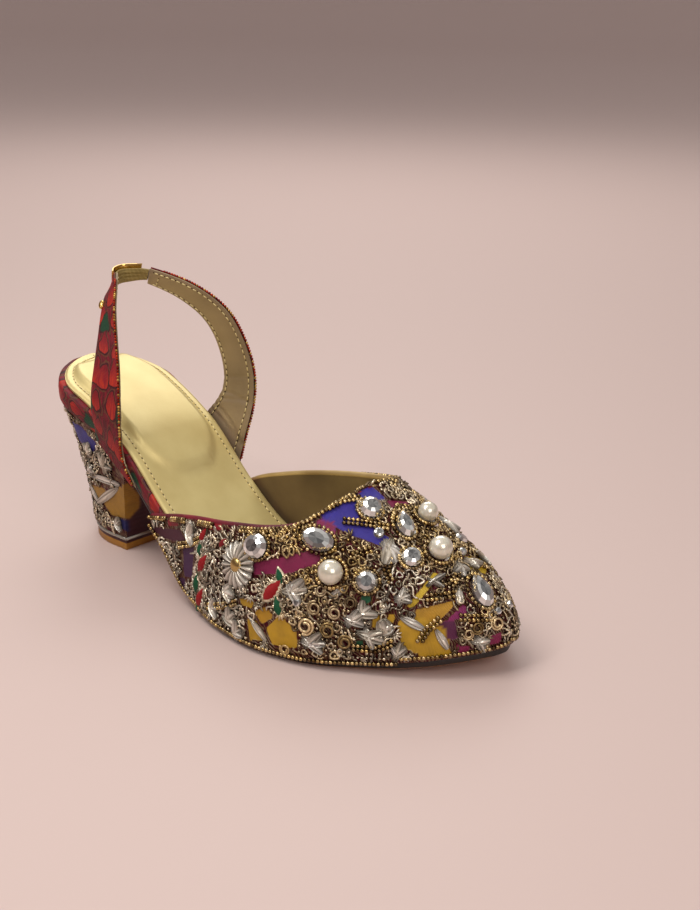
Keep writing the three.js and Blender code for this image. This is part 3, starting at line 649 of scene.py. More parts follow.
def brocade(name, repeat_mm):
    """Satin brocade: drop-shaped crimson lobes, round end down, edged in dark and olive thread, a few green.

    Each cell of a stretched cell pattern holds one drop: its reach is the length of (along, across times 1 + 1.1
    along), and bands of that reach make the lobe and its two outlines. The thread is drawn coarse enough to show.
    """
    finish = Finish(name)
    add = finish.add
    place = add("Attribute", attribute_name="pattern", out="Vector")
    sway = add("TexNoise", place, 1 / 10, out="Color")
    bent = add("VectorMath", sway, (9, 7, 0), place, **MULTIPLY_ADD)
    scaled = add("VectorMath", bent, (1 / (1.7 * repeat_mm), 1 / repeat_mm, 0), **MULTIPLY)
    cells = add("TexVoronoi", scaled, 1.0, Randomness=0.65, voronoi_dimensions="2D", out=None)
    pick = add("SeparateColor", cells["Color"], out=None)
    along, across = add("SeparateXYZ", add("VectorMath", scaled, cells["Position"], **SUBTRACT), out=None)[:2]
    slim = add("Math", across, add("Math", along, 1.1, 1.0, **MULTIPLY_ADD), **MULTIPLY)
    reach = add("VectorMath", add("CombineXYZ", along, slim), operation="LENGTH")
    reach = add("Math", pick[1], -0.14, reach, **MULTIPLY_ADD)
    grain = add("VectorMath", bent, (0.16, 1.1, 0), **MULTIPLY)
    streak = add("TexNoise", grain, 1.0, 3.0)
    thread = add("TexWave", place, FLAT_DIAGONAL / 0.74, 0.5, bands_direction="DIAGONAL", out="Fac")
    lobe = add("Mix", add("MapRange", along, -0.3, 0.25), "#b02c18", "#6a0a18", **COLOUR)
    lobe = add("Mix", add("MapRange", streak, 0.42, 0.62), lobe, "#860f1c", **COLOUR)
    lobe = add("Mix", add("MapRange", pick[2], 0.87, 0.89), lobe, "#123c26", **COLOUR)
    ground = add("Mix", add("MapRange", streak, 0.45, 0.6), "#520816", "#7a0e20", **COLOUR)
    base = add("Mix", add("MapRange", reach, 0.4, 0.37), ground, lobe, **COLOUR)
    for middle, wide, narrow, code in ((0.37, 0.045, 0.02, "#34080e"), (0.44, 0.03, 0.01, "#5a3c22")):
        away = add("Math", add("Math", reach, middle, **SUBTRACT), **ABSOLUTE)
        base = add("Mix", add("MapRange", away, wide, narrow), base, code, **COLOUR)
    relief = add("Math", add("MapRange", reach, 0.46, 0.36), 0.9, thread, **MULTIPLY_ADD)
    return finish.shade(Base_Color=base, Roughness=0.5, Specular_IOR_Level=0.3,
                        Normal=add("Bump", 0.6, 0.16 * MM, Height=relief))


def coated(name, light, dark, metallic, roughness, grain_mm):
    """Leather or cloth with a coat or foil: clouds of two tones over fine grain, drawn coarse enough to show."""
    finish = Finish(name)
    add = finish.add
    place = finish.place_mm()
    cloudy = add("TexNoise", place, 1 / 22, 4.0)
    grain = add("TexVoronoi", place, 1 / grain_mm)
    fine = add("TexNoise", place, 1 / 0.5)
    return finish.shade(
        Base_Color=add("Mix", add("MapRange", cloudy, 0.3, 0.7), dark, light, **COLOUR), Metallic=metallic,
        Roughness=add("Math", fine, 0.14, roughness - 0.07, **MULTIPLY_ADD),
        Normal=add("Bump", 0.35, 0.06 * MM, Height=add("Math", grain, 0.5, fine, **MULTIPLY_ADD)))


def tinted_metal(name, silver, gold, roughness, metallic):
    """Metal thread, bead or tissue: every copy has its own tone, between silver and gold and dark and bright."""
    finish = Finish(name)
    add = finish.add
    tint, gilt = add("SeparateXYZ", add("Attribute", attribute_name="tone", out="Vector"), out=None)[:2]
    white = add("Mix", tint, *silver, **COLOUR)
    yellow = add("Mix", tint, *gold, **COLOUR)
    return finish.shade(Base_Color=add("Mix", gilt, white, yellow, **COLOUR), Metallic=metallic, Roughness=roughness)


def ground_cloth(name):
    """Embroidered ground: couched metal thread in short runs, with plain satin where a patch is laid on."""
    finish = Finish(name)
    add = finish.add
    place = finish.place_mm()
    patch = add("Attribute", attribute_name="patch", out=None)
    laid = add("MapRange", patch["Alpha"], 0.35, 0.65)
    sway = add("TexNoise", place, 1 / 6.25, out="Color")
    warp = add("VectorMath", sway, (9, 9, 9), place, **MULTIPLY_ADD)
    runs = add("TexWave", warp, DIAGONAL / 1.296, 3.0, 2.0, bands_direction="DIAGONAL", out="Fac")
    thread = add("Mix", add("MapRange", add("TexNoise", place, 1 / 5, 3.0), 0.4, 0.6), "#6a4a30", "#8d7c66", **COLOUR)
    thread = add("Mix", add("MapRange", runs, 0.6, 0.2), thread, "#4c0a1c", **COLOUR)
    weave = add("TexWave", place, WAVE_BAND / 0.393, 0.5, out="Fac")
    shadow = add("MapRange", add("TexNoise", place, 1 / 4), 0.3, 0.75)
    plain = add("Mix", 0.25, patch["Color"], add("Mix", shadow, patch["Color"], "#241216", **COLOUR), **COLOUR)
    raised = add("Math", runs, add("Math", 1.0, laid, **SUBTRACT), **MULTIPLY)
    return finish.shade(
        Base_Color=add("Mix", laid, thread, plain, **COLOUR),
        Metallic=add("Math", laid, -0.75, 0.75, **MULTIPLY_ADD),
        Roughness=add("Math", laid, 0.12, 0.42, **MULTIPLY_ADD),
        Normal=add("Bump", 0.8, 0.5 * MM, Height=add("Math", weave, 0.25, raised, **MULTIPLY_ADD)))


def satin_stitch(name):
    """Dyed satin stitch: fine parallel threads, coloured piece by piece, with painted shade in stripes along them
    that leaves a soft streak of light.
    """
    finish = Finish(name)
    add = finish.add
    dye = add("Attribute", attribute_name="dye", out="Color")
    thread = add("TexWave", finish.place_mm(), DIAGONAL / 0.403, bands_direction="DIAGONAL", out="Fac")
    return finish.shade(
        # The dye is darkened toward near black along the thread's waves: painted shade in stripes.
        Base_Color=add("Mix", add("MapRange", thread, 0.0, 2.2), dye, "#120808", **COLOUR), Roughness=0.5,
        Specular_IOR_Level=0.25, Normal=add("Bump", 0.6, 0.15 * MM, Height=thread))


def pearl_coat(name):
    """Imitation pearl: a glass ball in nacre lacquer, cream, with a soft metallic depth under the gloss."""
    finish = Finish(name)
    add = finish.add
    clouds = add("MapRange", add("TexNoise", finish.place_mm(), 1 / 3), 0.35, 0.65)
    return finish.shade(
        Base_Color=add("Mix", clouds, "#d6d1be", "#e6e2d2", **COLOUR), Metallic=0.4, Roughness=0.22,
        Subsurface_Weight=0.15, Subsurface_Radius=(0.002, 0.0015, 0.001), Coat_Weight=1.0, Coat_Roughness=0.04)


def foiled_glass(name):
    """Foil-backed cut glass: mirror facets, each with a painted reflection, dark or bright, in its base colour."""
    finish = Finish(name)
    # The facet attribute mixes dark and bright: painted reflections.
    facet = finish.add("Attribute", attribute_name="facet", out="Fac")
    return finish.shade(Base_Color=finish.add("Mix", facet, "#20242a", "#f4f5f2", **COLOUR), Metallic=0.85,
                        Roughness=0.07, Coat_Weight=1.0, Coat_Roughness=0.02)


def polished_gold(name):
    """Electroplated clip: bright yellow metal with light handling marks."""
    finish = Finish(name)
    marks = finish.add("TexNoise", finish.place_mm(), 1 / 0.8, 4.0)
    return finish.shade(Base_Color="#d9b565", Metallic=1.0,
                        Roughness=finish.add("Math", marks, 0.2, 0.08, **MULTIPLY_ADD))


def moulded_rubber(name, mottle_mm, light, dark, share_of, other, grain_mm, depth_mm):
    """Moulded rubber in two parts: mottled in two tones, with the other tones where share_of says."""
    finish = Finish(name)
    add = finish.add
    place = finish.place_mm()
    mottle = add("MapRange", add("TexNoise", place, 1 / mottle_mm, 4.0), 0.3, 0.7)
    first = add("Mix", mottle, dark, light, **COLOUR)
    second = add("Mix", mottle, *other, **COLOUR)
    return finish.shade(
        Base_Color=add("Mix", share_of(finish), first, second, **COLOUR), Roughness=0.45,
        Normal=add("Bump", 0.5, depth_mm * MM, Height=add("TexNoise", place, 1 / grain_mm)))


def above_tread(finish):
    """1 above the amber tread, where the heel's cover is turned in."""
    return finish.add("MapRange", finish.add("SeparateXYZ", finish.place_mm(), out="Z"), 3.0, 3.3)


def underside(finish):
    """1 where a face looks down."""
    normal = finish.add("NewGeometry", out="Normal")
    return finish.add("MapRange", finish.add("SeparateXYZ", normal, out="Z"), -0.55, -0.8)


def woven_elastic(name):
    """Ribbed elastic: matt metallic yarn over rubber, with cross threads."""
    finish = Finish(name)
    add = finish.add
    place = add("Attribute", attribute_name="pattern", out="Vector")
    cross = add("TexWave", place, WAVE_BAND / 0.628, bands_direction="X", out="Fac")
    return finish.shade(Base_Color=add("Mix", cross, "#6f5f32", "#b49f62", **COLOUR), Metallic=0.3, Roughness=0.5,
                        Normal=add("Bump", 0.8, 0.15 * MM, Height=cross))


BROCADE = brocade("satin_brocade", 7.4)
# Gold foil on leather: pale and satiny, so that the cushion's form shows in its gloss.
SOCK_LEATHER = coated("gold_foil_leather", "#d9c98c", "#c8b578", 0.36, 0.4, 1.3)
# Bronze lining of the toe, duller than the sock, and darker as painted shade inside the toe.
LINING = coated("lining_leather", "#7c6849", "#5f4e38", 0.35, 0.42, 1.1)
# Crimson cloth binding of the top edge, without shine.
BINDING = coated("edge_binding_cloth", "#84142a", "#4a0c1a", 0.0, 0.55, 0.9)
# Taupe lining of the straps, with a faint metallic gloss.
STRAP_LINING = coated("strap_lining_leather", "#a18e71", "#85745b", 0.35, 0.42, 1.1)
# Gold leather turned over the inner top edge.
TRIM = coated("gold_edge_leather", "#c4aa76", "#9a7f4e", 0.4, 0.4, 0.9)
# Pale waxed thread, and the shadow in its needle holes.
THREAD = coated("lockstitch_thread", "#e6d8a4", "#cdb97e", 0.2, 0.5, 0.6)
PAINTED_HOLE_SHADOW = coated("needle_hole_shadow", "#5a4524", "#33260f", 0.0, 0.7, 0.6)
GROUND = ground_cloth("embroidered_ground")
# Wound metal thread, grey silver to old gold, with a soft shine.
COIL = tinted_metal("coiled_metal_thread", ("#5a5146", "#efe7d6"), ("#5c4522", "#dfc288"), 0.3, 0.8)
# Small cast beads, wholly metal, that sparkle between the thread.
BEAD_METAL = tinted_metal("antique_bead", ("#5e5448", "#ece3d0"), ("#4a3418", "#d8ba78"), 0.24, 1.0)
# Thin silver tissue, with painted highlights on its crests and painted brown shade in its folds.
RIBBON = tinted_metal("pleated_metal_tissue", ("#332b22", "#fbf7ee"), ("#40301a", "#ead6a6"), 0.26, 0.5)
# Red and gilt beads that edge the straps.
PIPING = tinted_metal("red_gold_piping_bead", ("#6a1410", "#b8421e"), ("#8a5a20", "#d8b060"), 0.3, 0.9)
DYED = satin_stitch("dyed_satin_stitch")
PEARL = pearl_coat("nacre_lacquer")
STONE = foiled_glass("foiled_cut_glass")
CLIP_GOLD = polished_gold("plated_clip_metal")
# Dark stained edge of the sole, darkened further as painted shade under the bulging upper, with a tan tread
# underneath.
SOLE = moulded_rubber("unit_sole_rubber", 12, "#1e110b", "#0d0705", underside, ("#a8713d", "#c08a52"), 0.8, 0.05)
# Amber tread of the heel under a dark painted band.
LIFT = moulded_rubber("top_lift_rubber", 8, "#b07c24", "#8a5a16", above_tread, ("#3a0d14", "#3a0d14"), 0.7, 0.06)
ELASTIC_YARN = woven_elastic("ribbed_elastic")


# Sole layers

def stations_along(off):
    """Stations from heel to toe, closest where the outline is round: cosine, even and sine steps."""
    quarter = np.pi / 2
    heel = -off + (WAIST[0] + off) * (1 - np.cos(np.linspace(0, quarter, HEEL_STATIONS, endpoint=False)))
    flat = np.linspace(*WAIST, WAIST_STATIONS, endpoint=False)
    toe = WAIST[1] + (LENGTH + off - WAIST[1]) * np.sin(np.linspace(0, quarter, TOE_STATIONS))
    return np.concatenate([heel, flat, toe])


def layer_loop(stations, off_of, profile):
    """Closed section carried along the last: profile rows of (inset, height) down each side."""
    inset, height = np.array(profile, float).T
    s = stations[:, None]
    across, level = [], []
    for side, order in ((LATERAL, slice(None)), (MEDIAL, slice(None, None, -1))):
        width = half(s, side, off_of(s))
        reach = np.maximum(width - inset[order] * np.clip(width / 2, 0, 1), 0)
        across.append(centre(s) + side * reach)
        level.append(np.broadcast_to(height[order], reach.shape))
    y = np.concatenate(across, axis=1)
    return np.broadcast_to(s, y.shape), y, np.concatenate(level, axis=1)


def board_off(s):
    """Edge of the footbed board, swelling out round the back of the heel seat."""
    return BOARD_SWELL * (1 - smooth((s - BOARD_SWELL_FROM) / BOARD_SWELL_FADE))


def sole_off(s):
    """Edge of the sole, drawn in under the waist and out under the ball."""
    return SOLE_IN + (SOLE_OUT - SOLE_IN) * smooth((s - SOLE_SPREAD_FROM) / SOLE_SPREAD_FADE)


def wrapped_footbed():
    """Footbed board in brocade: a rounded band whose height runs from the underside to the sock."""
    band, inner_shift = 10, 37
    stations = np.concatenate([np.array([-1, -0.8, -0.4]) * BOARD_SWELL, stations_along(0)])
    s, y, level = layer_loop(stations, board_off, BOARD_PROFILE)
    low, high = feather(s), bed(s) - SOCK - GAP
    points = np.stack([s, y, low + (high - low) * level], -1)
    run = np.broadcast_to(arc(points[:, BOARD_EDGE])[:, None], s.shape)
    span = level * band + np.where(y < centre(s), 0, inner_shift)
    merge(add_piece("wrapped_footbed", row_frame(points), grid_faces(*s.shape, around=True, flip=True), BROCADE,
                    "brocade", ["footbed_board"], pattern=np.stack([run, span, np.zeros_like(s)], -1)))


def cushion(s, y):
    """Raised pad of the heel seat: a step in from the edges, ending under the arch in a round nose."""
    side = np.where(y < centre(s), LATERAL, MEDIAL)
    nose = np.clip((s - CUSHION_FRONT + CUSHION_NOSE) / CUSHION_NOSE, 0, 1)
    inward = (half(s, side, 0) - CUSHION_MARGIN) * np.sqrt(1 - nose ** 2) - np.abs(y - centre(s))
    along = np.minimum(s - CUSHION_BACK, CUSHION_FRONT - s)
    return CUSHION * smooth(inward / CUSHION_SLOPE) * smooth(along / CUSHION_SLOPE)


def sock_ripple(s, y):
    """Shallow ripples across the arch: a sine along the foot, swayed by one across it, faded at both ends."""
    fade = smooth((s - RIPPLE_FROM) / RIPPLE_FADE_IN) * smooth((RIPPLE_TO - s) / RIPPLE_FADE_OUT)
    return RIPPLE * np.sin(s * 0.9 + 2.2 * np.sin(y * 0.12)) * fade


def sock_sheet():
    """Gold sock: the outline less a margin, with the cushion, ripples and a soft rolled edge."""
    off = -SOCK_INSET
    s = stations_along(off)[:, None]
    across = np.sin(np.linspace(-1, 1, SOCK_COLUMNS)[None] * np.pi / 2)
    y = centre(s) + across * half(s, np.where(across < 0, LATERAL, MEDIAL), off)
    inward = 1 - np.abs(across)
    roll = SOCK_ROLL * (1 - smooth(inward * half(s, MEDIAL, off) / SOCK_ROLL_WIDTH))
    z = bed(s) + cushion(s, y) - roll + sock_ripple(s, y) * inward
    s = np.broadcast_to(s, y.shape)
    points, faces = slab(np.stack([s, y, z], -1), np.stack([s, y, bed(s) - SOCK], -1))
    piece = add_piece("sock_sheet", row_frame(points), faces, SOCK_LEATHER, "sock_leather", ["sock"])
    crease(piece, 60)


def stitch_row(name, line, normal, slot):
    """Lockstitches, short rounded bars, at an even pitch along a line of points, with a dark disc of painted shadow
    for the needle hole after each.
    """
    run = arc(line)[-1]
    at = np.arange(STITCH_PITCH / 2, run - STITCH_PITCH / 2, STITCH_PITCH)
    origin = along_line(line, at)
    up = unit(np.stack([np.interp(at, arc(line), normal[:, k]) for k in range(3)], -1))
    heading = along_line(line, at + STITCH_STEP) - along_line(line, at - STITCH_STEP)
    heading = turned(up, heading, np.zeros(len(at)))
    points, faces = stamp(BEAD, (origin + up * STITCH_RISE, heading, up), 1.0, STITCH_SIZE)
    add_piece(name, row_frame(points), faces, THREAD, slot)
    # Needle holes: flat dark discs of painted shadow on the surface.
    ends = origin - up * HOLE_SINK + heading * STITCH_PITCH / 2
    points, faces = stamp(BEAD, (ends, heading, up), 1.0, HOLE_SIZE)
    add_piece(name + "_hole_shadows", row_frame(points), faces, PAINTED_HOLE_SHADOW, slot)


def sock_stitches():
    """Stitch lines a finger in from the sock's edge on both sides and round the heel."""
    s = stations_along(-SOCK_INSET)
    s = s[(s > SOCK_STITCHES[0]) & (s < SOCK_STITCHES[1])]
    rows = []
    for side in SIDES:
        y = centre(s) + side * np.maximum(half(s, side, -SOCK_STITCH_INSET), 0.1)
        rows.append(np.stack([s, y, bed(s) + cushion(s, y)], -1))
    line = np.concatenate([rows[0][::-1], rows[1]])
    lean = np.interp(line[:, 0], s, np.gradient(bed(s), s))
    stitch_row("sock_stitches", line, np.stack([-lean, np.zeros_like(lean), np.ones_like(lean)], -1), "sock_leather")


def unit_sole():
    """Outsole: a thin rounded slab that follows the feather line."""
    waist = np.linspace(SOLE_FROM, WAIST[1], SOLE_STATIONS, endpoint=False)
    stations = np.concatenate([waist, stations_along(SOLE_OUT)[-TOE_STATIONS:]])
    s, y, level = layer_loop(stations, sole_off, SOLE_PROFILE)
    low, high = feather(s) - OUTSOLE, feather(s) - GAP
    points = np.stack([s, y, low + (high - low) * level], -1)
    faces = np.concatenate([grid_faces(*s.shape, around=True, flip=True), end_cap(s.shape[1])])
    merge(add_piece("unit_sole", row_frame(points), faces, SOLE, "outsole", ["outsole"]))


# Heel

def heel_outline(count, floor):
    """Outline of the heel at the seat or at the floor, round the back from corner to corner."""
    turn = np.pi * (np.arange(count + 1) / count - 0.5)
    side = np.sign(np.sin(turn))
    back = 1 - np.maximum(np.cos(turn), 0) ** HEEL_BACK_POWER
    start = HEEL_BACK_FLOOR if floor else HEEL_SEAT_INSET
    end = HEEL_BREAST_FLOOR if floor else HEEL_BREAST_TOP
    s = start + (end - start) * back
    if not floor:
        return s, centre(s) + side * half(s, np.where(side < 0, LATERAL, MEDIAL), -HEEL_SEAT_INSET)
    q = np.clip(1 - (s - start) / HEEL_FLOOR_ROUND, 0, 1)
    return s, HEEL_FLOOR_CENTRE + side * HEEL_HALF_FLOOR * np.sqrt(1 - q * q)


def heel_wall(levels, count):
    """Wall of the heel: seat outline drawn down to the floor outline, a little hollow on the way by a half sine."""
    top, floor = heel_outline(count, False), heel_outline(count, True)
    t = np.linspace(0, 1, levels + 1)[:, None]
    drawn = t + HEEL_HOLLOW * np.sin(np.pi * t)
    s = top[0] + (floor[0] - top[0]) * drawn
    y = top[1] + (floor[1] - top[1]) * drawn
    seat = feather(top[0]) - GAP
    return np.stack([s, y, seat + (TOP_LIFT + GAP - seat) * t], -1)


def heel_cover():
    """Covered heel block: embroidered wall with cloth patches a little proud, and a flat maroon breast."""
    patch_rise = 0.25
    wall = heel_wall(*COVER_MESH)
    normals = -grid_normals(wall)
    colour, seen = charted(wall, normals, HEEL_PATCHES)
    colour = np.where(seen[..., None], colour, colour[:, ::-1])
    wall = wall + normals * patch_rise * colour[..., 3:]
    breast = np.linspace(wall[:, -1], wall[:, 0], BREAST_COLUMNS, axis=1)[:, 1:-1]
    maroon = charted(breast, np.broadcast_to((1.0, 0.0, 0.0), breast.shape), HEEL_PATCHES)[0]
    maroon = maroon * maroon[..., 3:] + (1 - maroon[..., 3:]) * hex_linear(BREAST_MAROON)
    maroon[..., 3] = 1
    points, faces = capped(np.concatenate([wall, breast], axis=1), flip=True)
    patch = np.concatenate([np.concatenate([colour, maroon], axis=1).reshape(-1, 4), np.zeros((2, 4))])
    crease(add_piece("heel_cover", row_frame(points), faces, GROUND, "heel_cover", ["heel_block"], patch=patch), 45)


def top_lift():
    """Tread of the heel: the floor outline at four heights, drawn in a little at both edges."""
    s, y = heel_outline(LIFT_STEPS, True)
    front = np.linspace(0, 1, LIFT_COLUMNS)[1:-1]
    breast = np.stack([np.full(len(front), s[-1]), y[-1] + (y[0] - y[-1]) * front], -1)
    ring = np.concatenate([np.stack([s, y], -1), breast])
    drawn_in = 0.985
    levels = [(0.0, drawn_in), (0.35, 1.0), (TOP_LIFT - 0.4, 1.0), (TOP_LIFT, drawn_in)]
    rings = [np.concatenate([LIFT_MIDDLE + (ring - LIFT_MIDDLE) * grow, np.full((len(ring), 1), z)], 1)
             for z, grow in levels]
    points, faces = capped(np.stack(rings))
    crease(add_piece("top_lift", row_frame(points), faces, LIFT, "top_lift", ["heel_top_lift"]), 50)


# Sling

def spline(rows, count):
    """Smooth curve through a table's rows: Catmull-Rom pieces, evenly split."""
    t = np.linspace(0, len(rows) - 1, count)
    i = np.clip(t.astype(int), 0, len(rows) - 2)
    padded = np.concatenate([2 * rows[:1] - rows[1:2], rows, 2 * rows[-1:] - rows[-2:-1]])
    p0, p1, p2, p3 = padded[i], padded[i + 1], padded[i + 2], padded[i + 3]
    u = (t - i).reshape((-1,) + (1,) * (rows.ndim - 1))
    bend = 2 * p0 - 5 * p1 + 4 * p2 - p3
    return 0.5 * (2 * p1 + (p2 - p0) * u + bend * u ** 2 + (3 * p1 - p0 - 3 * p2 + p3) * u ** 3)


def strip(rows, count, low, high, cols=15, relief=0, across=(0, 1)):
    """Band between two edges: a flat section with rounded edges, from low to high along its normal."""
    edges = spline(rows, count)
    rear, width = edges[:, 0], edges[:, 1] - edges[:, 0]
    wide = np.linalg.norm(width, axis=1)
    normal = unit(np.cross(np.gradient(edges.mean(1), axis=0), width))
    a = np.linspace(*across, cols)
    inward = np.minimum(a - across[0], across[1] - a) * wide.mean()
    round_off = (high - low) * EDGE_ROUND * (1 - smooth(inward / EDGE_ROUND_WIDTH))
    place = np.concatenate([a, a[::-1]])
    out = np.concatenate([high - round_off + relief, low + round_off])
    points = rear[:, None] + width[:, None] * place[None, :, None] + normal[:, None] * out[None, :, None]
    run = np.broadcast_to(arc(edges.mean(1))[:, None], points.shape[:2])
    pattern = np.stack([run, place[None] * wide[:, None], np.zeros_like(run)], -1)
    cap = end_cap(2 * cols)
    faces = np.concatenate([grid_faces(*points.shape[:2], around=True), cap[:, ::-1], cap + 2 * cols * (count - 1)])
    return points, faces, pattern, normal


def sling_strap(name, rows, outside, node_name):
    """Strap of two plies: brocade outside, creased metallic lining inside, stitched near both edges and the tip."""
    joint, face = PLY_JOINT * outside, STRAP_THICKNESS / 2 * outside
    points, faces, pattern = strip(rows, COVER_STEPS, *sorted((joint, face)))[:3]
    crease(add_piece(name + "_brocade", row_frame(points), faces, BROCADE, "brocade", [node_name],
                     pattern=pattern), 60)
    points, faces, pattern, normal = strip(rows, STRAP_STEPS, *sorted((joint, -face)))
    run, span = pattern[..., 0], pattern[..., 1]
    hollow = sum(deep * np.exp(-((run + slant * span - at) / CREASE_WIDTH) ** 2) for at, slant, deep in STRAP_CREASES)
    points = points + outside * normal[:, None] * hollow[..., None]
    crease(add_piece(name + "_lining", row_frame(points), faces, STRAP_LINING, "sock_leather"), 60)
    edges = spline(rows, STRAP_STEPS)
    rear, width = edges[:, 0] - normal * face, edges[:, 1] - edges[:, 0]
    up = -outside * normal
    tip_line = rear[TIP_STEP] + width[TIP_STEP] * np.linspace(*STITCH_SHARES, 12)[:, None]
    stitch_row(name + "_stitches_tip", tip_line, np.broadcast_to(up[TIP_STEP], tip_line.shape), "sock_leather")
    for label, share in zip(("rear", "front"), STITCH_SHARES):
        stitch_row(f"{name}_stitches_{label}", rear + width * share, up, "sock_leather")
    strap_piping(name, spline(rows, PIPING_STEPS)[PIPING_SPAN, 1])


def strap_piping(name, edge):
    """Row of red and gold beads along the front edge of a strap."""
    place = row_frame(even_places(edge, PIPING_PITCH))
    outward = np.broadcast_to((0.0, np.sign(edge[0, 1]), 0.0), place.shape)
    heading = np.broadcast_to((0.0, 0.0, 1.0), place.shape)
    stamped(name + "_piping", BEAD, (place + outward * PIPING_OUT, heading, outward), PIPING, PIPING_RADIUS,
            slot="brocade", gilt=lambda places: RNG.random(len(places)) > 0.6)


def sling_elastic():
    """Elastic with ribs along it: the size of a cosine across the band."""
    cols, ribs, rib_rise, rib_sink = 33, 4, 0.28, 0.2
    relief = rib_rise * np.abs(np.cos(np.pi * ribs * np.linspace(0, 1, cols))) - rib_sink
    half_thick = ELASTIC_THICKNESS / 2
    points, faces, pattern = strip(ELASTIC, ELASTIC_STEPS, -half_thick, half_thick, cols, relief)[:3]
    crease(add_piece("sling_elastic_ribbed", row_frame(points), faces, ELASTIC_YARN, "elastic", ["sling_elastic"],
                     pattern=pattern), 70)


def sling_stud():
    """Rounded gold stud near the tip of the outer strap."""
    edges = spline(LATERAL_STRAP, STUD_STEPS)
    width = edges[STUD_STEP, 1] - edges[STUD_STEP, 0]
    along = (edges[STUD_STEP + 1] - edges[STUD_STEP - 1]).mean(0)[None]
    normal = unit(-np.cross(along, width))
    middle = row_frame(edges[STUD_STEP, 0] + width * STUD_SHARE) + normal * STUD_RISE
    points, faces = stamp(cube_sphere(6), (middle, turned(normal, along, [0]), normal), 1.0, STUD_SIZE)
    add_piece("sling_stud", points, faces, CLIP_GOLD, "clip_metal")


def sling_clip():
    """Plate of the clip, outside the elastic."""
    near = -(ELASTIC_THICKNESS / 2 + GAP)
    points, faces = strip(ELASTIC[:CLIP_ROWS], ELASTIC_STEPS, near - CLIP_THICKNESS, near, 17,
                          across=(CLIP_LOW, CLIP_HIGH))[:2]
    crease(add_piece("sling_clip_plate", row_frame(points), faces, CLIP_GOLD, "clip_metal", ["sling_clip"]), 50)


# Vamp

def vamp_side(side, off, refine, rise):
    """One side of the vamp: ribs from wing to toe, each rising from the feather line to the top edge or ridge.

    The share up a rib follows a cosine of its angle on the section, so that the steps stay even round the bend.
    """
    index = np.linspace(0, len(RIBS) - 1, (len(RIBS) - 1) * refine + 1)
    foot, head = (monotone(np.arange(len(RIBS)), RIBS[:, k])(index) for k in (0, 1))
    t = np.arange(1, TOE_RIBS * refine + 1) / (TOE_RIBS * refine)
    foot = np.concatenate([foot, foot[-1] + (LENGTH + off - foot[-1]) * np.sin(np.pi * t / 2)])
    head = np.concatenate([head, head[-1] + (FAN_RIDGE_END - head[-1]) * t])
    is_open = head < THROAT - 1e-6
    edge = centre(foot) + side * half(foot, side, off)
    level = (top_lateral(head) if side < 0 else top_medial(head)) - feather(head)
    level = np.clip(level / (ridge(head) + VAMP_CLEARANCE - feather(head)), 0, 1)
    limit = np.where(is_open, np.arccos((1 - level ** FULLNESS) ** (1 / FULLNESS)), np.pi / 2)
    top = centre(head) + side * half(head, side, off) * np.where(is_open, np.cos(limit), 0)
    share = (1 - np.cos(limit[:, None] * np.linspace(0, 1, rise + 1))) / (1 - np.cos(limit[:, None]))
    s = foot[:, None] * (1 - share) + head[:, None] * share
    y = edge[:, None] * (1 - share) + top[:, None] * share
    z = foot_height(s, y, off)
    z[:, 0] = feather(s[:, 0])
    return np.stack([s, y, z], -1), int(np.argmin(is_open))


def vamp_wall(inner, outer, refine, rise):
    """Closed wall of the vamp between two offsets: both skins, with strips along the top edge, wing and sole."""
    points, faces, skins, base = [], [], [], 0
    for side in SIDES:
        skin, throat = vamp_side(side, outer, refine, rise)
        lining = vamp_side(side, inner, refine, rise)[0]
        rows, cols = skin.shape[:2]
        n = rows * cols
        ids = np.arange(n).reshape(rows, cols)
        edge = np.concatenate([ids[throat::-1, -1], ids[0, -2::-1], ids[1:, 0]])
        border = np.stack([edge[:-1], edge[:-1] + n, edge[1:] + n, edge[1:]], -1)
        wall = np.concatenate([grid_faces(rows, cols), grid_faces(rows, cols, flip=True) + n, border])
        faces.append((wall if side < 0 else wall[:, ::-1]) + base)
        points += [skin.reshape(-1, 3), lining.reshape(-1, 3)]
        skins.append(skin)
        base += 2 * n
    return np.concatenate(points), np.concatenate(faces), skins


class Skin:
    """Surface made of two matching grids, with normals, on which ornaments are set."""

    def __init__(self, grids, normals):
        self.shape = grids[0].shape[:2]
        self.grid = [row_frame(grid) for grid in grids]
        self.points = np.concatenate([grid.reshape(-1, 3) for grid in self.grid])
        self.normals = np.concatenate([normal.reshape(-1, 3) for normal in normals])
        self.half = len(self.points) // 2
        faces = grid_faces(*self.shape)
        self.tree = BVHTree.FromPolygons(self.points.tolist(), np.concatenate([faces, faces + self.half]).tolist())
        sides = [[np.linalg.norm(np.gradient(grid, axis=k), axis=-1) for k in (0, 1)] for grid in self.grid]
        self.area = np.concatenate([(down * across).ravel() for down, across in sides])
        self.pixels = project(self.points)
        self.seen = np.sum((EYE - self.points) * self.normals, axis=1) > 0

    def nearest(self, points):
        """Points of the surface nearest to given points, with the normals of the grid points nearest to them."""
        place = np.array([tuple(self.tree.find_nearest(Vector(p))[0]) for p in points])
        index = [int(np.argmin(np.sum((self.points - p) ** 2, axis=1))) for p in place]
        return place, self.normals[index]

    def at(self, pixels, mates=None):
        """Places and normals of the visible grid points nearest to photo pixels, then of their mates' grid points."""
        far = np.where(self.seen, 0.0, 1e9)
        index = np.array([int(np.argmin(np.sum((self.pixels - p) ** 2, axis=1) + far))
                          for p in np.array(pixels, float)])
        chosen = index if mates is None else index[mates]
        every = np.concatenate([index, (chosen + self.half) % (2 * self.half)])
        return self.points[every], self.normals[every]


def vamp_skin():
    """Outer skin of the vamp."""
    grids = [vamp_side(side, OUTER, *SKIN_MESH)[0] for side in SIDES]
    return Skin(grids, [grid_normals(grids[0]), -grid_normals(grids[1])])


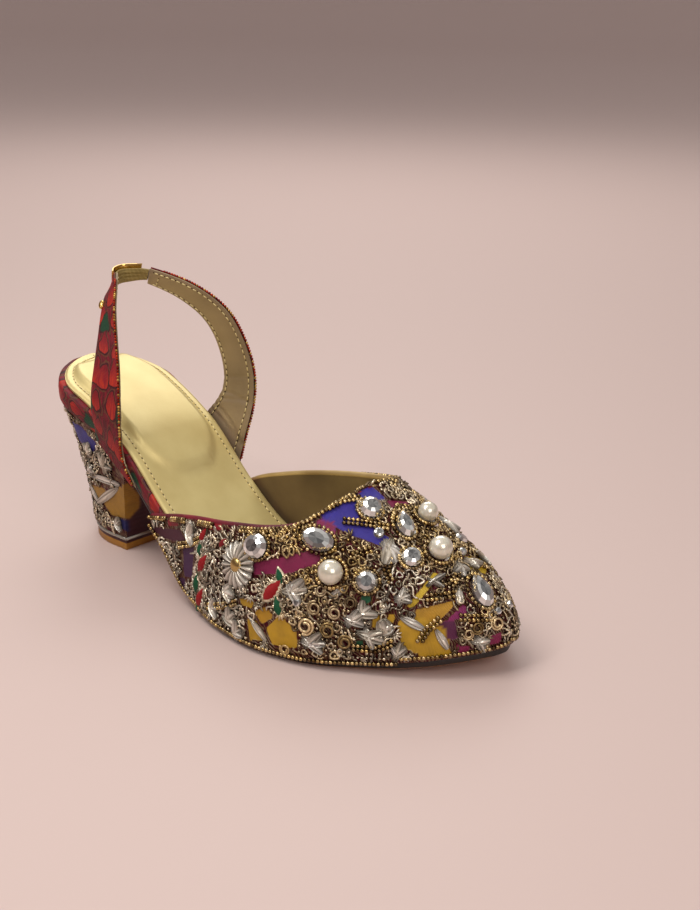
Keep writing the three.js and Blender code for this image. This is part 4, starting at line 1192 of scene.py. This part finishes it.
def heel_skin():
    """Wall of the heel as an outer and an inner half that match."""
    wall = heel_wall(*HEEL_MESH)
    normals = -grid_normals(wall)
    back = HEEL_MESH[1] // 2
    return Skin(*[[grid[:, :back + 1], grid[:, :back - 1:-1]] for grid in (wall, normals)])


SKIN = vamp_skin()
HEEL_SKIN = heel_skin()


def vamp_cloth():
    """Cloth of the vamp with its laid patches, the leather lining inside it and the binding of its top edge."""
    points, faces, skins = vamp_wall(PLY, OUTER, *CLOTH_MESH)
    charts = [charted(grid, grid_normals(grid) * -side, PATCHES) for side, grid in zip(SIDES, skins)]
    patch = []
    for colour, seen in charts:
        laid = np.where(seen[..., None], colour, charts[0][0])
        patch += [laid.reshape(-1, 4), np.zeros((seen.size, 4))]
    merge(add_piece("vamp_cloth", row_frame(points), faces, GROUND, "embroidery", ["vamp"],
                    patch=np.concatenate(patch)))
    points, faces = vamp_wall(VAMP_CLEARANCE, PLY - PLY_GAP, *LINING_MESH)[:2]
    merge(add_piece("vamp_lining", row_frame(points), faces, LINING, "sock_leather"))
    for name, side, material in (("outer", LATERAL, BINDING), ("inner", MEDIAL, TRIM)):
        grid, throat = vamp_side(side, (OUTER + VAMP_CLEARANCE) / 2, *BINDING_MESH)
        points, faces = tube(grid[:throat + 1, -1], BINDING_RADIUS)
        add_piece(f"vamp_binding_{name}", row_frame(points), faces, material, "sock_leather")


# Ornament shapes, in millimetres or of unit size

BEAD = cube_sphere(2)


def coil_wire(path, radius):
    """Coiled purl thread: a tube along a flat path whose radius swells at every turn of the wire.

    The turns are drawn coarser than real thread, so that they show.
    """
    pitch, waist, tip = 0.9, 0.7, 0.5
    run = arc(path)
    count = max(int(run[-1] / pitch) * 2, 4)
    at = np.linspace(0, run[-1], count)
    flat = [np.interp(at, run, path[:, k]) for k in (0, 1)]
    swell = radius * np.where(np.arange(count) % 2, 1.0, waist)
    swell[[0, -1]] *= tip
    return tube(np.stack(flat + [np.full(count, radius * waist)], -1), swell, 4)


def joined(shapes):
    """One shape from several."""
    starts = np.cumsum([0] + [len(points) for points, faces in shapes[:-1]])
    return (np.concatenate([points for points, faces in shapes]),
            np.concatenate([faces + start for (points, faces), start in zip(shapes, starts)]))


def coil_shapes():
    """Small motifs of coiled thread: fan of five bars, petal loop, wave, bar and curl."""
    t = np.linspace(0, 1, 60)
    bars = np.radians([-64, -32, 0, 32, 64])
    fan = [(0.4 + 2.1 * t)[:, None] * (np.cos(a), np.sin(a)) for a in bars]
    loop = np.stack([3.0 * np.sin(np.pi * t) - 1.5, 1.1 * np.sin(2 * np.pi * t)], -1)
    wave = np.stack([5.2 * (t - 0.5), 0.8 * np.sin(t * 2 * np.pi)], -1)
    bar = np.stack([4.2 * (t - 0.5), 0.4 * np.sin(np.pi * t)], -1)
    curl = (1.6 - 1.0 * t)[:, None] * np.stack([np.cos(6.6 * t), np.sin(6.6 * t)], -1)
    return [joined([coil_wire(path, 0.44) for path in fan])] + [
        coil_wire(path, 0.46) for path in (loop, wave, bar, curl)]


def ring_coil():
    """Curl of unit radius: coiled wire wound inwards and upwards in a spiral of a turn and a half."""
    t = np.linspace(0, 1, 48)
    turn, reach = 3.3 * np.pi * t, 0.84 - 0.5 * t
    line = np.stack([reach * np.cos(turn), reach * np.sin(turn), 0.16 + 0.14 * t], -1)
    return tube(line, 0.17 * np.where(np.arange(len(t)) % 2, 1.0, 0.75), 6)


def flat_backed(top):
    """Closed sheet from a crowned grid down to a flat back just under the surface."""
    return slab(top, top * (1, 1, 0) - (0, 0, 0.3))


def fold_shape(pleats=3):
    """Creased tissue of unit half length and width: a pointed leaf with sharp pleats along it, one end gathered.

    Its width and its rise are half sines along the leaf; the pleats are a cosine across it that jumps twice.
    """
    u, v = np.meshgrid(np.linspace(0, 1, 9), np.linspace(-1, 1, pleats * 2 + 1), indexing="ij")
    broad = 0.14 + 0.86 * np.sin(np.pi * np.clip(u * 0.8 + 0.04, 0, 1)) ** 0.9
    fold = 0.5 + 0.5 * np.cos(np.pi * pleats * v + 0.5 * np.pi * np.round(u * 2.4) * (v > 0.3))
    rise = (0.35 + 0.75 * np.sin(np.pi * np.clip(u, 0.06, 0.94))) * (0.35 + 0.65 * fold) * (1 - 0.5 * v ** 4)
    return flat_backed(np.stack([2 * u - 0.4 - 0.12 * v ** 2, broad * v, rise], -1))


def petal_shape():
    """Padded petal: a leaf outline crowned in the middle, with ridges of laid thread across it."""
    width, ribs = 1.5, 7
    u, v = np.meshgrid(np.linspace(0, 1, 2 * ribs + 1), np.linspace(-1, 1, 7), indexing="ij")
    broad = width * np.sin(np.pi * u ** 0.8) + 0.12
    crown = 0.95 * (1 - v ** 2) * np.sin(np.pi * np.clip(u, 0.04, 0.96)) + 0.25
    ridged = crown * (1 - 0.16 * (np.arange(2 * ribs + 1) % 2)[:, None])
    return flat_backed(np.stack([PETAL_LENGTH * (2 * u - 1), broad * v, ridged], -1))


def rosette_shape(pleats=17):
    """Ribbon flower of unit radius: pleats that fan out from the heart and stand highest at half reach."""
    phi = np.linspace(0, 2 * np.pi, pleats * 8 + 1)[:, None]
    r, crown = np.array([(0.22, 0.2), (0.34, 0.27), (0.5, 0.3), (0.7, 0.27), (0.88, 0.2), (1.0, 0.12)]).T
    fold = (0.5 + 0.5 * np.cos(pleats * phi)) ** 0.7
    scallop = r * (1 + 0.1 * (fold - 0.6) * (r > 0.8))
    upper = np.stack([scallop * np.cos(phi), scallop * np.sin(phi), crown * (0.25 + 0.75 * fold)], -1)
    grid = np.concatenate([upper, upper[:, ::-1] * (1, 1, 0)], axis=1)
    return weld(grid.reshape(-1, 3), grid_faces(*grid.shape[:2], around=True, flip=True))


def stone_shape(drop=False):
    """Cut stone of unit size: flat table, two rows of crown facets and a short girdle; a drop has one point."""
    phi = np.linspace(0, 2 * np.pi, STONE_SIDES, endpoint=False)
    outline = np.stack([np.cos(phi), np.sin(phi) * (np.sin(np.abs(phi - np.pi) / 2) ** 0.6 if drop else 1)], -1)
    levels = [(0.5, 1.0), (0.8, 0.72), (1.0, -0.2), (0.96, -1.0)]
    return capped(np.stack([np.concatenate([outline * r, np.full((STONE_SIDES, 1), z)], 1) for r, z in levels]))


# Setting the ornaments

def gilding(points):
    """Share of gold in the thread: that of the nearest charted drifts, weighted by distance, with some scatter."""
    plain, plain_weight, scatter = 0.45, 0.02, 0.5
    pixels = project(points)
    weights = np.full(len(points), plain_weight)
    total = plain * weights
    for pixel, radius, share in GILT_ZONES:
        weight = np.exp(-np.sum((pixels - pixel) ** 2, axis=1) / radius ** 2)
        total, weights = total + weight * share, weights + weight
    return np.clip(total / weights + scatter * (RNG.random(len(points)) - 0.5), 0, 1)


def gold(low, high):
    """Share of gold drawn for each copy between two limits."""
    return lambda places: low + (high - low) * RNG.random(len(places))


def painted_fold_shade(template):
    """Painted shade and highlight over a pleated shape: its tone dark in the folds and bright on the crests, by
    height.
    """
    shadow, contrast = 0.2, 1.3
    z = template[0][:, 2]
    return shadow + (1 - shadow) * np.clip(z / z.max(), 0, 1) ** contrast


def stamped(name, template, places, material, scale=1.0, stretch=1.0, slot="embroidery", gilt=gilding, shade=None,
            facets=False, **extra):
    """Piece made of many copies of one small shape, each with a tone of its own."""
    lean, least = 1.1, 0.65
    points, faces = stamp(template, places, scale, stretch)
    if not extra:
        count = len(places[0])
        tone = np.stack([RNG.random(count) ** lean, gilt(places[0]), np.zeros(count)], -1)
        tone = np.repeat(tone, len(template[0]), axis=0)
        # A shade multiplies each point's tone: painted shade in folds and painted highlight on crests.
        if shade is not None:
            tone[:, 0] = (least + (1 - least) * tone[:, 0]) * np.tile(shade, count)
        extra = {"tone": tone}
    add_piece(name, points, faces, material, slot, facets=facets, **extra)


def jewel_place(name):
    """Middle of a jewel's solid, with the vamp's normal under it."""
    low, high = (np.array(corner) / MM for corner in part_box(name))
    middle = (low + high)[None] / 2
    return middle, SKIN.nearest(middle)[1]


def pearls():
    """Pearls where their solids are; gives foot, normal, heading and half sizes of the bead ring round each."""
    ball, sink, grow = cube_sphere(10), 0.55, 1.2
    rings = []
    for name, radius in PEARLS.items():
        middle, normal = jewel_place(name)
        heading = along_foot(normal)
        points, faces = stamp(ball, (middle, heading, normal), radius)
        add_piece(name + "_nacre", points, faces, PEARL, "pearl", [name])
        rings.append((middle - normal * radius * sink, normal, heading, radius * grow, radius * grow))
    return rings


def facet_reflection_tones(count):
    """Painted reflection of each facet, ring by ring: dark table, then bright and grey facets by turns."""
    ring = np.minimum(np.arange(count) // STONE_SIDES, 2)
    low, span = np.array([(0.12, 0.3), (0.35, 0.65), (0.55, 0.45)])[ring].T
    return low + span * RNG.random(count)


def stones():
    """Cut stones where their solids are; gives the bead rings round them as the pearls do."""
    sink, margin = 0.7, 0.6
    rings = []
    for name, (length, width, height, turn) in STONES.items():
        middle, normal = jewel_place(name)
        heading = along_foot(normal, turn)
        template = stone_shape(name in DROP_STONES)
        points, faces = stamp(template, (middle, heading, normal), 1.0, (length, width, height))
        # Each facet gets a painted reflection tone.
        add_piece(name + "_cut", points, faces, STONE, "stone", [name], facets=True, facet=facet_reflection_tones(len(faces)))
        rings.append((middle - normal * height * sink, normal, heading, length + margin, width + margin))
    return rings


def ring_beads(rings):
    """Beads set round each jewel's foot, on an ellipse."""
    phi = np.linspace(0, 2 * np.pi, RING_BEADS, endpoint=False)[:, None]
    origin = np.concatenate([foot + heading * long * np.cos(phi) + np.cross(up, heading) * wide * np.sin(phi)
                             for foot, up, heading, long, wide in rings])
    normal = np.concatenate([np.repeat(ring[1], RING_BEADS, axis=0) for ring in rings])
    stamped("jewel_bead_rings", BEAD, (origin, along_foot(normal), normal), BEAD_METAL,
            RING_BEAD_RADIUS, gilt=gold(0.7, 1.0))


def small_stones():
    """Small crystals sewn between the ornaments, and their mates on the inner side."""
    rise, height = 1.0, 1.1
    pixels, long, wide, turn = zip(*SMALL_STONES)
    place, normal = SKIN.at(pixels)
    size = np.tile(np.stack([long, wide, np.full(len(long), height)], -1), (2, 1))
    template = stone_shape()
    # Each facet gets a painted reflection tone.
    stamped("small_crystals", template, (place + normal * rise, along_foot(normal, np.tile(turn, 2)), normal), STONE,
            1.0, size, slot="stone", facets=True, facet=np.tile(facet_reflection_tones(len(template[1])), len(place)))
    return place, size.max(axis=1)


def edge_beads():
    """Double row of beads along the top edge, a row along the sole and round the toe, and the charted bars."""
    lines = []
    for grid in SKIN.grid:
        lines += [grid[TOE_ROW:, 1], grid[:TOE_ROW, 0]]
        station = grid[:THROAT_ROW + 1, TOP_ROWS[0], 0] + ORIGIN_STATION
        bare = np.any([(station > low) & (station < high) for low, high in BARE_TOPLINE], axis=0)
        cuts = np.flatnonzero(np.diff(bare.astype(int))) + 1
        for part in np.split(np.arange(THROAT_ROW + 1), cuts):
            if len(part) > 3 and not bare[part[0]]:
                lines += [grid[part, row] for row in TOP_ROWS]
    for bar in BEAD_BARS:
        for place, normal in zip(*(np.split(values, 2) for values in SKIN.at(bar))):
            across = unit(np.cross(normal, np.gradient(place, axis=0))) * BAR_HALF
            lines += [place - across, place + across]
    place, normal = SKIN.nearest(np.concatenate([even_places(line, ROW_PITCH) for line in lines]))
    stamped("edge_and_bar_beads", BEAD, (place + normal * ROW_RISE, along_foot(normal), normal), BEAD_METAL,
            ROW_RADIUS, gilt=gold(0.75, 1.0))
    return place, np.full(len(place), ROW_CLEARANCE)


def rosettes():
    """Pleated ribbon flowers with a flat gold heart, and the large one's mate on the inner side."""
    rise, heart_rise, heart_size, clearance = 0.2, 0.16, (0.34, 0.34, 0.2), 0.4
    pixels, radius = zip(*ROSETTES)
    place, normal = SKIN.at(pixels, mates=[0])
    radius = np.array(radius + radius[:1])
    heading = along_foot(normal, RNG.random(len(place)) * 360)
    flower, heart = rosette_shape(), cube_sphere(6)
    # The ribbon's tone gets painted shade in its pleats and painted highlight on their crests.
    stamped("ribbon_rosettes", flower, (place + normal * rise, heading, normal), RIBBON, radius,
            gilt=lambda places: np.full(len(places), 0.15), shade=painted_fold_shade(flower))
    heart_place = place + normal * heart_rise * radius[:, None]
    stamped("rosette_hearts", heart, (heart_place, heading, normal), BEAD_METAL, radius, heart_size,
            tone=np.tile((0.7, 1.0, 0.0), (len(radius) * len(heart[0]), 1)))
    return place, radius + clearance


def leaves():
    """Satin leaves in red and green on pale ribbon, and their mates on the inner side."""
    rise, edging_rise, edging_grow, edging_stretch, clearance = 0.75, 0.15, 1.25, (1.0, 1.15, 0.8), 1.8
    pixels, length, turn, codes = zip(*LEAVES)
    place, normal = SKIN.at(pixels)
    size = np.tile(length, 2) / PETAL_LENGTH
    dye = np.tile([hex_linear(code) for code in codes], (2, 1))
    heading = along_foot(normal, np.concatenate([turn, np.negative(turn)]))
    template = petal_shape()
    stamped("satin_leaves", template, (place + normal * rise, heading, normal), DYED, size,
            dye=np.repeat(dye, len(template[0]), axis=0))
    stamped("leaf_edgings", template, (place + normal * edging_rise, heading, normal), RIBBON,
            size * edging_grow, edging_stretch, gilt=lambda places: np.full(len(places), 0.6))
    return place, size * clearance


def tissue(prefix, skin, folds, bands, slot):
    """Creased leaves of silver tissue in fans of three, and narrow strips of it, with mates on the other side."""
    fan, sway, steepest, rise, set_back, height, narrow = (-38, 4, 42), 12, 0.3, 0.45, 0.35, 1.3, 0.68
    band_rise, band_height, band_grow, clearance = 0.4, 0.6, 1.5, 0.85
    pixels, length, width, turn = zip(*folds)
    place, normal = skin.at(pixels)
    turn = np.concatenate([turn, np.negative(turn)])
    size = np.tile(np.stack([length, np.multiply(width, narrow), np.full(len(length), height)], -1), (2, 1))
    first, last, band_half = zip(*bands)
    starts, ends = skin.at(first)[0], skin.at(last)[0]
    middle, band_normal = skin.nearest((starts + ends) / 2)
    reach = np.linalg.norm(ends - starts, axis=1) / 2
    heading = turned(band_normal, ends - starts, np.zeros(len(middle)))
    origins = [middle + band_normal * band_rise - heading * reach[:, None] / 2]
    headings, normals = [heading], [band_normal]
    sizes = [np.stack([reach, np.tile(band_half, 2) * band_grow, np.full(len(reach), band_height)], -1)]
    for spread in fan:
        heading = along_foot(normal, turn + spread + sway * RNG.standard_normal(len(turn)))
        lift = steepest * RNG.random((len(turn), 1))
        lean = normal * np.cos(lift) - heading * np.sin(lift)
        heading = heading * np.cos(lift) + normal * np.sin(lift)
        origins.append(place + normal * rise - heading * size[:, :1] * set_back)
        headings.append(heading)
        normals.append(lean)
        sizes.append(size * (0.85 + 0.3 * RNG.random((len(size), 1))))
    shape = fold_shape()
    places = np.concatenate(origins), np.concatenate(headings), np.concatenate(normals)
    # The tissue's tone gets painted shade in its folds and painted highlight on its crests.
    stamped(prefix + "_tissue", shape, places, RIBBON, 1.0, np.concatenate(sizes), slot, gold(0, 0.35),
            painted_fold_shade(shape), facets=True)
    return np.concatenate([place, middle]), np.concatenate([size[:, 0] * clearance, reach / 2])


def ring_coils():
    """Curls of gold wire, and their mates on the inner side."""
    rise = 0.3
    pixels, radius = zip(*RING_COILS)
    place, normal = SKIN.at(pixels)
    heading = along_foot(normal, RNG.random(len(place)) * 360)
    stamped("ring_coils", ring_coil(), (place + normal * rise, heading, normal), COIL, np.tile(radius, 2),
            gilt=gold(0.6, 1.0))
    return place, np.tile(radius, 2)


def scattered(skin, spacing, taken, reach, keep):
    """Places spread over a surface no closer than spacing, clear of what is already set there."""
    weight = skin.area * keep
    order = RNG.choice(len(skin.points), size=SCATTER_TRIES, p=weight / np.sum(weight))
    free = np.ones(len(order), bool)
    for middle, radius in zip(taken, reach):
        free &= np.sum((skin.points[order] - middle) ** 2, axis=1) > radius ** 2
    chosen = np.empty((len(order), 3))
    index = []
    for k in order[free]:
        gaps = np.sum((chosen[:len(index)] - skin.points[k]) ** 2, axis=1)
        if np.min(gaps, initial=np.inf) > spacing ** 2:
            chosen[len(index)] = skin.points[k]
            index.append(k)
    return skin.points[index], skin.normals[index]


def clear_of(skin, chart, border):
    """Border where no patch is charted within a few pixels, else 0, with the outer side's chart on both sides."""
    laid = np.zeros(len(skin.points), bool)
    for shift in near_shifts(CLEAR_RING):
        laid |= np.any([inside(skin.pixels + shift, outline) for _, outline in chart], axis=0)
    laid &= skin.seen
    inner = slice(skin.half, None)
    laid[inner] = np.where(skin.seen[inner], laid[inner], laid[:skin.half])
    return np.where(laid, 0.0, 1.0) * np.tile(border.ravel(), 2)


def filler(prefix, skin, taken, reach, keep, slot):
    """Dense thread work between the ornaments: small tilted coils, with beads in the gaps."""
    tilt, coil_rise, bead_rise, bead_clearance = 0.24, 0.35, 0.55, 0.85
    place, normal = scattered(skin, COIL_SPACING, taken, reach, keep)
    lean = unit(normal + tilt * RNG.standard_normal(normal.shape))
    heading = along_foot(lean, RNG.random(len(place)) * 360)
    size = 0.8 + 0.45 * RNG.random(len(place))
    kind = RNG.choice(len(COIL_SHARES), len(place), p=COIL_SHARES)
    for k, template in enumerate(coil_shapes()):
        pick = kind == k
        stamped(f"{prefix}_coils_{k}", template, (place[pick] + normal[pick] * coil_rise, heading[pick], lean[pick]),
                COIL, size[pick], slot=slot)
    place, normal = scattered(skin, BEAD_SPACING, taken, reach * bead_clearance, keep)
    stamped(f"{prefix}_beads", BEAD, (place + normal * bead_rise, along_foot(normal), normal), BEAD_METAL,
            0.5 + 0.28 * RNG.random(len(place)), slot=slot)


def vamp_embroidery():
    """Everything sewn on the vamp, jewels first and the thread work round them."""
    jewel_margin, sole_rows, top_rows, wing_rows = 0.9, 1, 5, 3
    rings = pearls() + stones()
    ring_beads(rings)
    jewels = np.concatenate([ring[0] for ring in rings]), np.array([ring[3] for ring in rings]) + jewel_margin
    sewn = [jewels, small_stones(), rosettes(), leaves(), tissue("vamp", SKIN, RIBBONS, BANDS, "embroidery"),
            ring_coils(), edge_beads()]
    taken, reach = (np.concatenate(values) for values in zip(*sewn))
    border = np.ones(SKIN.shape)
    border[:, :sole_rows] = 0
    border[:THROAT_ROW, -top_rows:] = 0
    border[:wing_rows] = 0
    filler("vamp", SKIN, taken, reach, clear_of(SKIN, PATCHES, border), "embroidery")


def heel_embroidery():
    """Silver work on the heel cover, left out over its cloth patches, and a cord along its foot."""
    seat_rows, foot_rows, breast_rows = 3, 4, 3
    taken, reach = tissue("heel", HEEL_SKIN, HEEL_RIBBONS, HEEL_BANDS, "heel_cover")
    border = np.zeros(HEEL_SKIN.shape)
    border[seat_rows:-foot_rows, breast_rows:] = 1
    filler("heel", HEEL_SKIN, taken, reach, clear_of(HEEL_SKIN, HEEL_PATCHES, border), "heel_cover")
    foot = heel_wall(*HEEL_MESH)[-1]
    points, faces = tube(np.concatenate([foot, foot[:1]]), FOOT_CORD_RADIUS)
    add_piece("heel_foot_cord", row_frame(points), faces, RIBBON, "heel_cover",
              tone=np.tile((0.35, 0.1, 0.0), (len(points), 1)))


# Studio

def lay_floor():
    """Plain pale studio floor, in metres, that curves up all round, out of sight."""
    flat, round_off, rise = 5.0, 3.0, 1.2
    phi = np.linspace(0, 2 * np.pi, 97)[:, None]
    t = np.linspace(0, np.pi / 2, 13)
    r = np.concatenate([[0.0, 0.6, 1.2], flat + round_off * np.sin(t), [flat + round_off]])
    z = np.concatenate([[0.0, 0.0, 0.0], round_off * (1 - np.cos(t)), [round_off + rise]])
    grid = np.stack([r * np.cos(phi), r * np.sin(phi), np.broadcast_to(z, (len(phi), len(z)))], -1)
    points, faces = weld(grid.reshape(-1, 3), grid_faces(*grid.shape[:2], flip=True))
    # Matt pale studio paper.
    paper = Finish("pale_floor").shade(Base_Color="#c9b5b0", Roughness=0.6)
    mesh = new_mesh("floor", points, faces, paper)
    mesh.polygons.foreach_set("use_smooth", np.full(len(mesh.polygons), True))
    floor = bpy.data.objects.new("floor", mesh)
    bpy.context.scene.collection.objects.link(floor)


def add_light(name, place, aim, size, power, colour):
    """Soft box that looks at a point."""
    data = bpy.data.lights.new(name, "AREA")
    data.size, data.energy, data.color = size, power, hex_linear(colour)[:3]
    lamp = bpy.data.objects.new(name, data)
    lamp.location = place
    lamp.rotation_euler = (Vector(aim) - Vector(place)).to_track_quat("-Z", "Y").to_euler()
    bpy.context.scene.collection.objects.link(lamp)


def light_and_camera():
    """Soft studio light and the photo's view."""
    world = bpy.data.worlds.new("studio")
    world.use_nodes = True
    sky = world.node_tree.nodes["Background"].inputs
    sky["Color"].default_value, sky["Strength"].default_value = hex_linear("#f7f1ee"), 0.55
    bpy.context.scene.world = world
    bpy.context.scene.view_settings.view_transform = "Standard"
    add_light("key", (-0.2, -0.34, 0.82), (0, 0, 0.03), 0.4, 3.8, "#fff8f0")
    add_light("fill", (1.0, -0.5, 0.7), (0, 0, 0.03), 0.7, 5.0, "#fff6ee")
    add_light("glint", (-0.1, -0.6, 0.6), (0, 0, 0.03), 0.07, 0.6, "#ffffff")
    add_light("rim", (-0.8, 0.85, 0.95), (-0.55, 0.62, 0.0), 0.9, 7.5, "#fffaf4")
    data = bpy.data.cameras.new("photo_view")
    data.sensor_fit = "AUTO"
    data.sensor_width = 36
    data.lens = FOCAL / max(PHOTO) * data.sensor_width
    data.clip_start = 0.01
    camera = bpy.data.objects.new("photo_view", data)
    basis = Matrix((RIGHT, UP, BACK)).transposed().to_4x4()
    camera.matrix_world = Matrix.Translation(Vector(EYE * MM)) @ basis
    bpy.context.scene.collection.objects.link(camera)
    bpy.context.scene.camera = camera


lay_floor()
light_and_camera()
wrapped_footbed()
sock_sheet()
sock_stitches()
unit_sole()
heel_cover()
top_lift()
sling_strap("sling_lateral", LATERAL_STRAP, -1, "sling_strap_lateral")
sling_strap("sling_medial", MEDIAL_STRAP, 1, "sling_strap_medial")
sling_elastic()
sling_stud()
sling_clip()
vamp_cloth()
vamp_embroidery()
heel_embroidery()
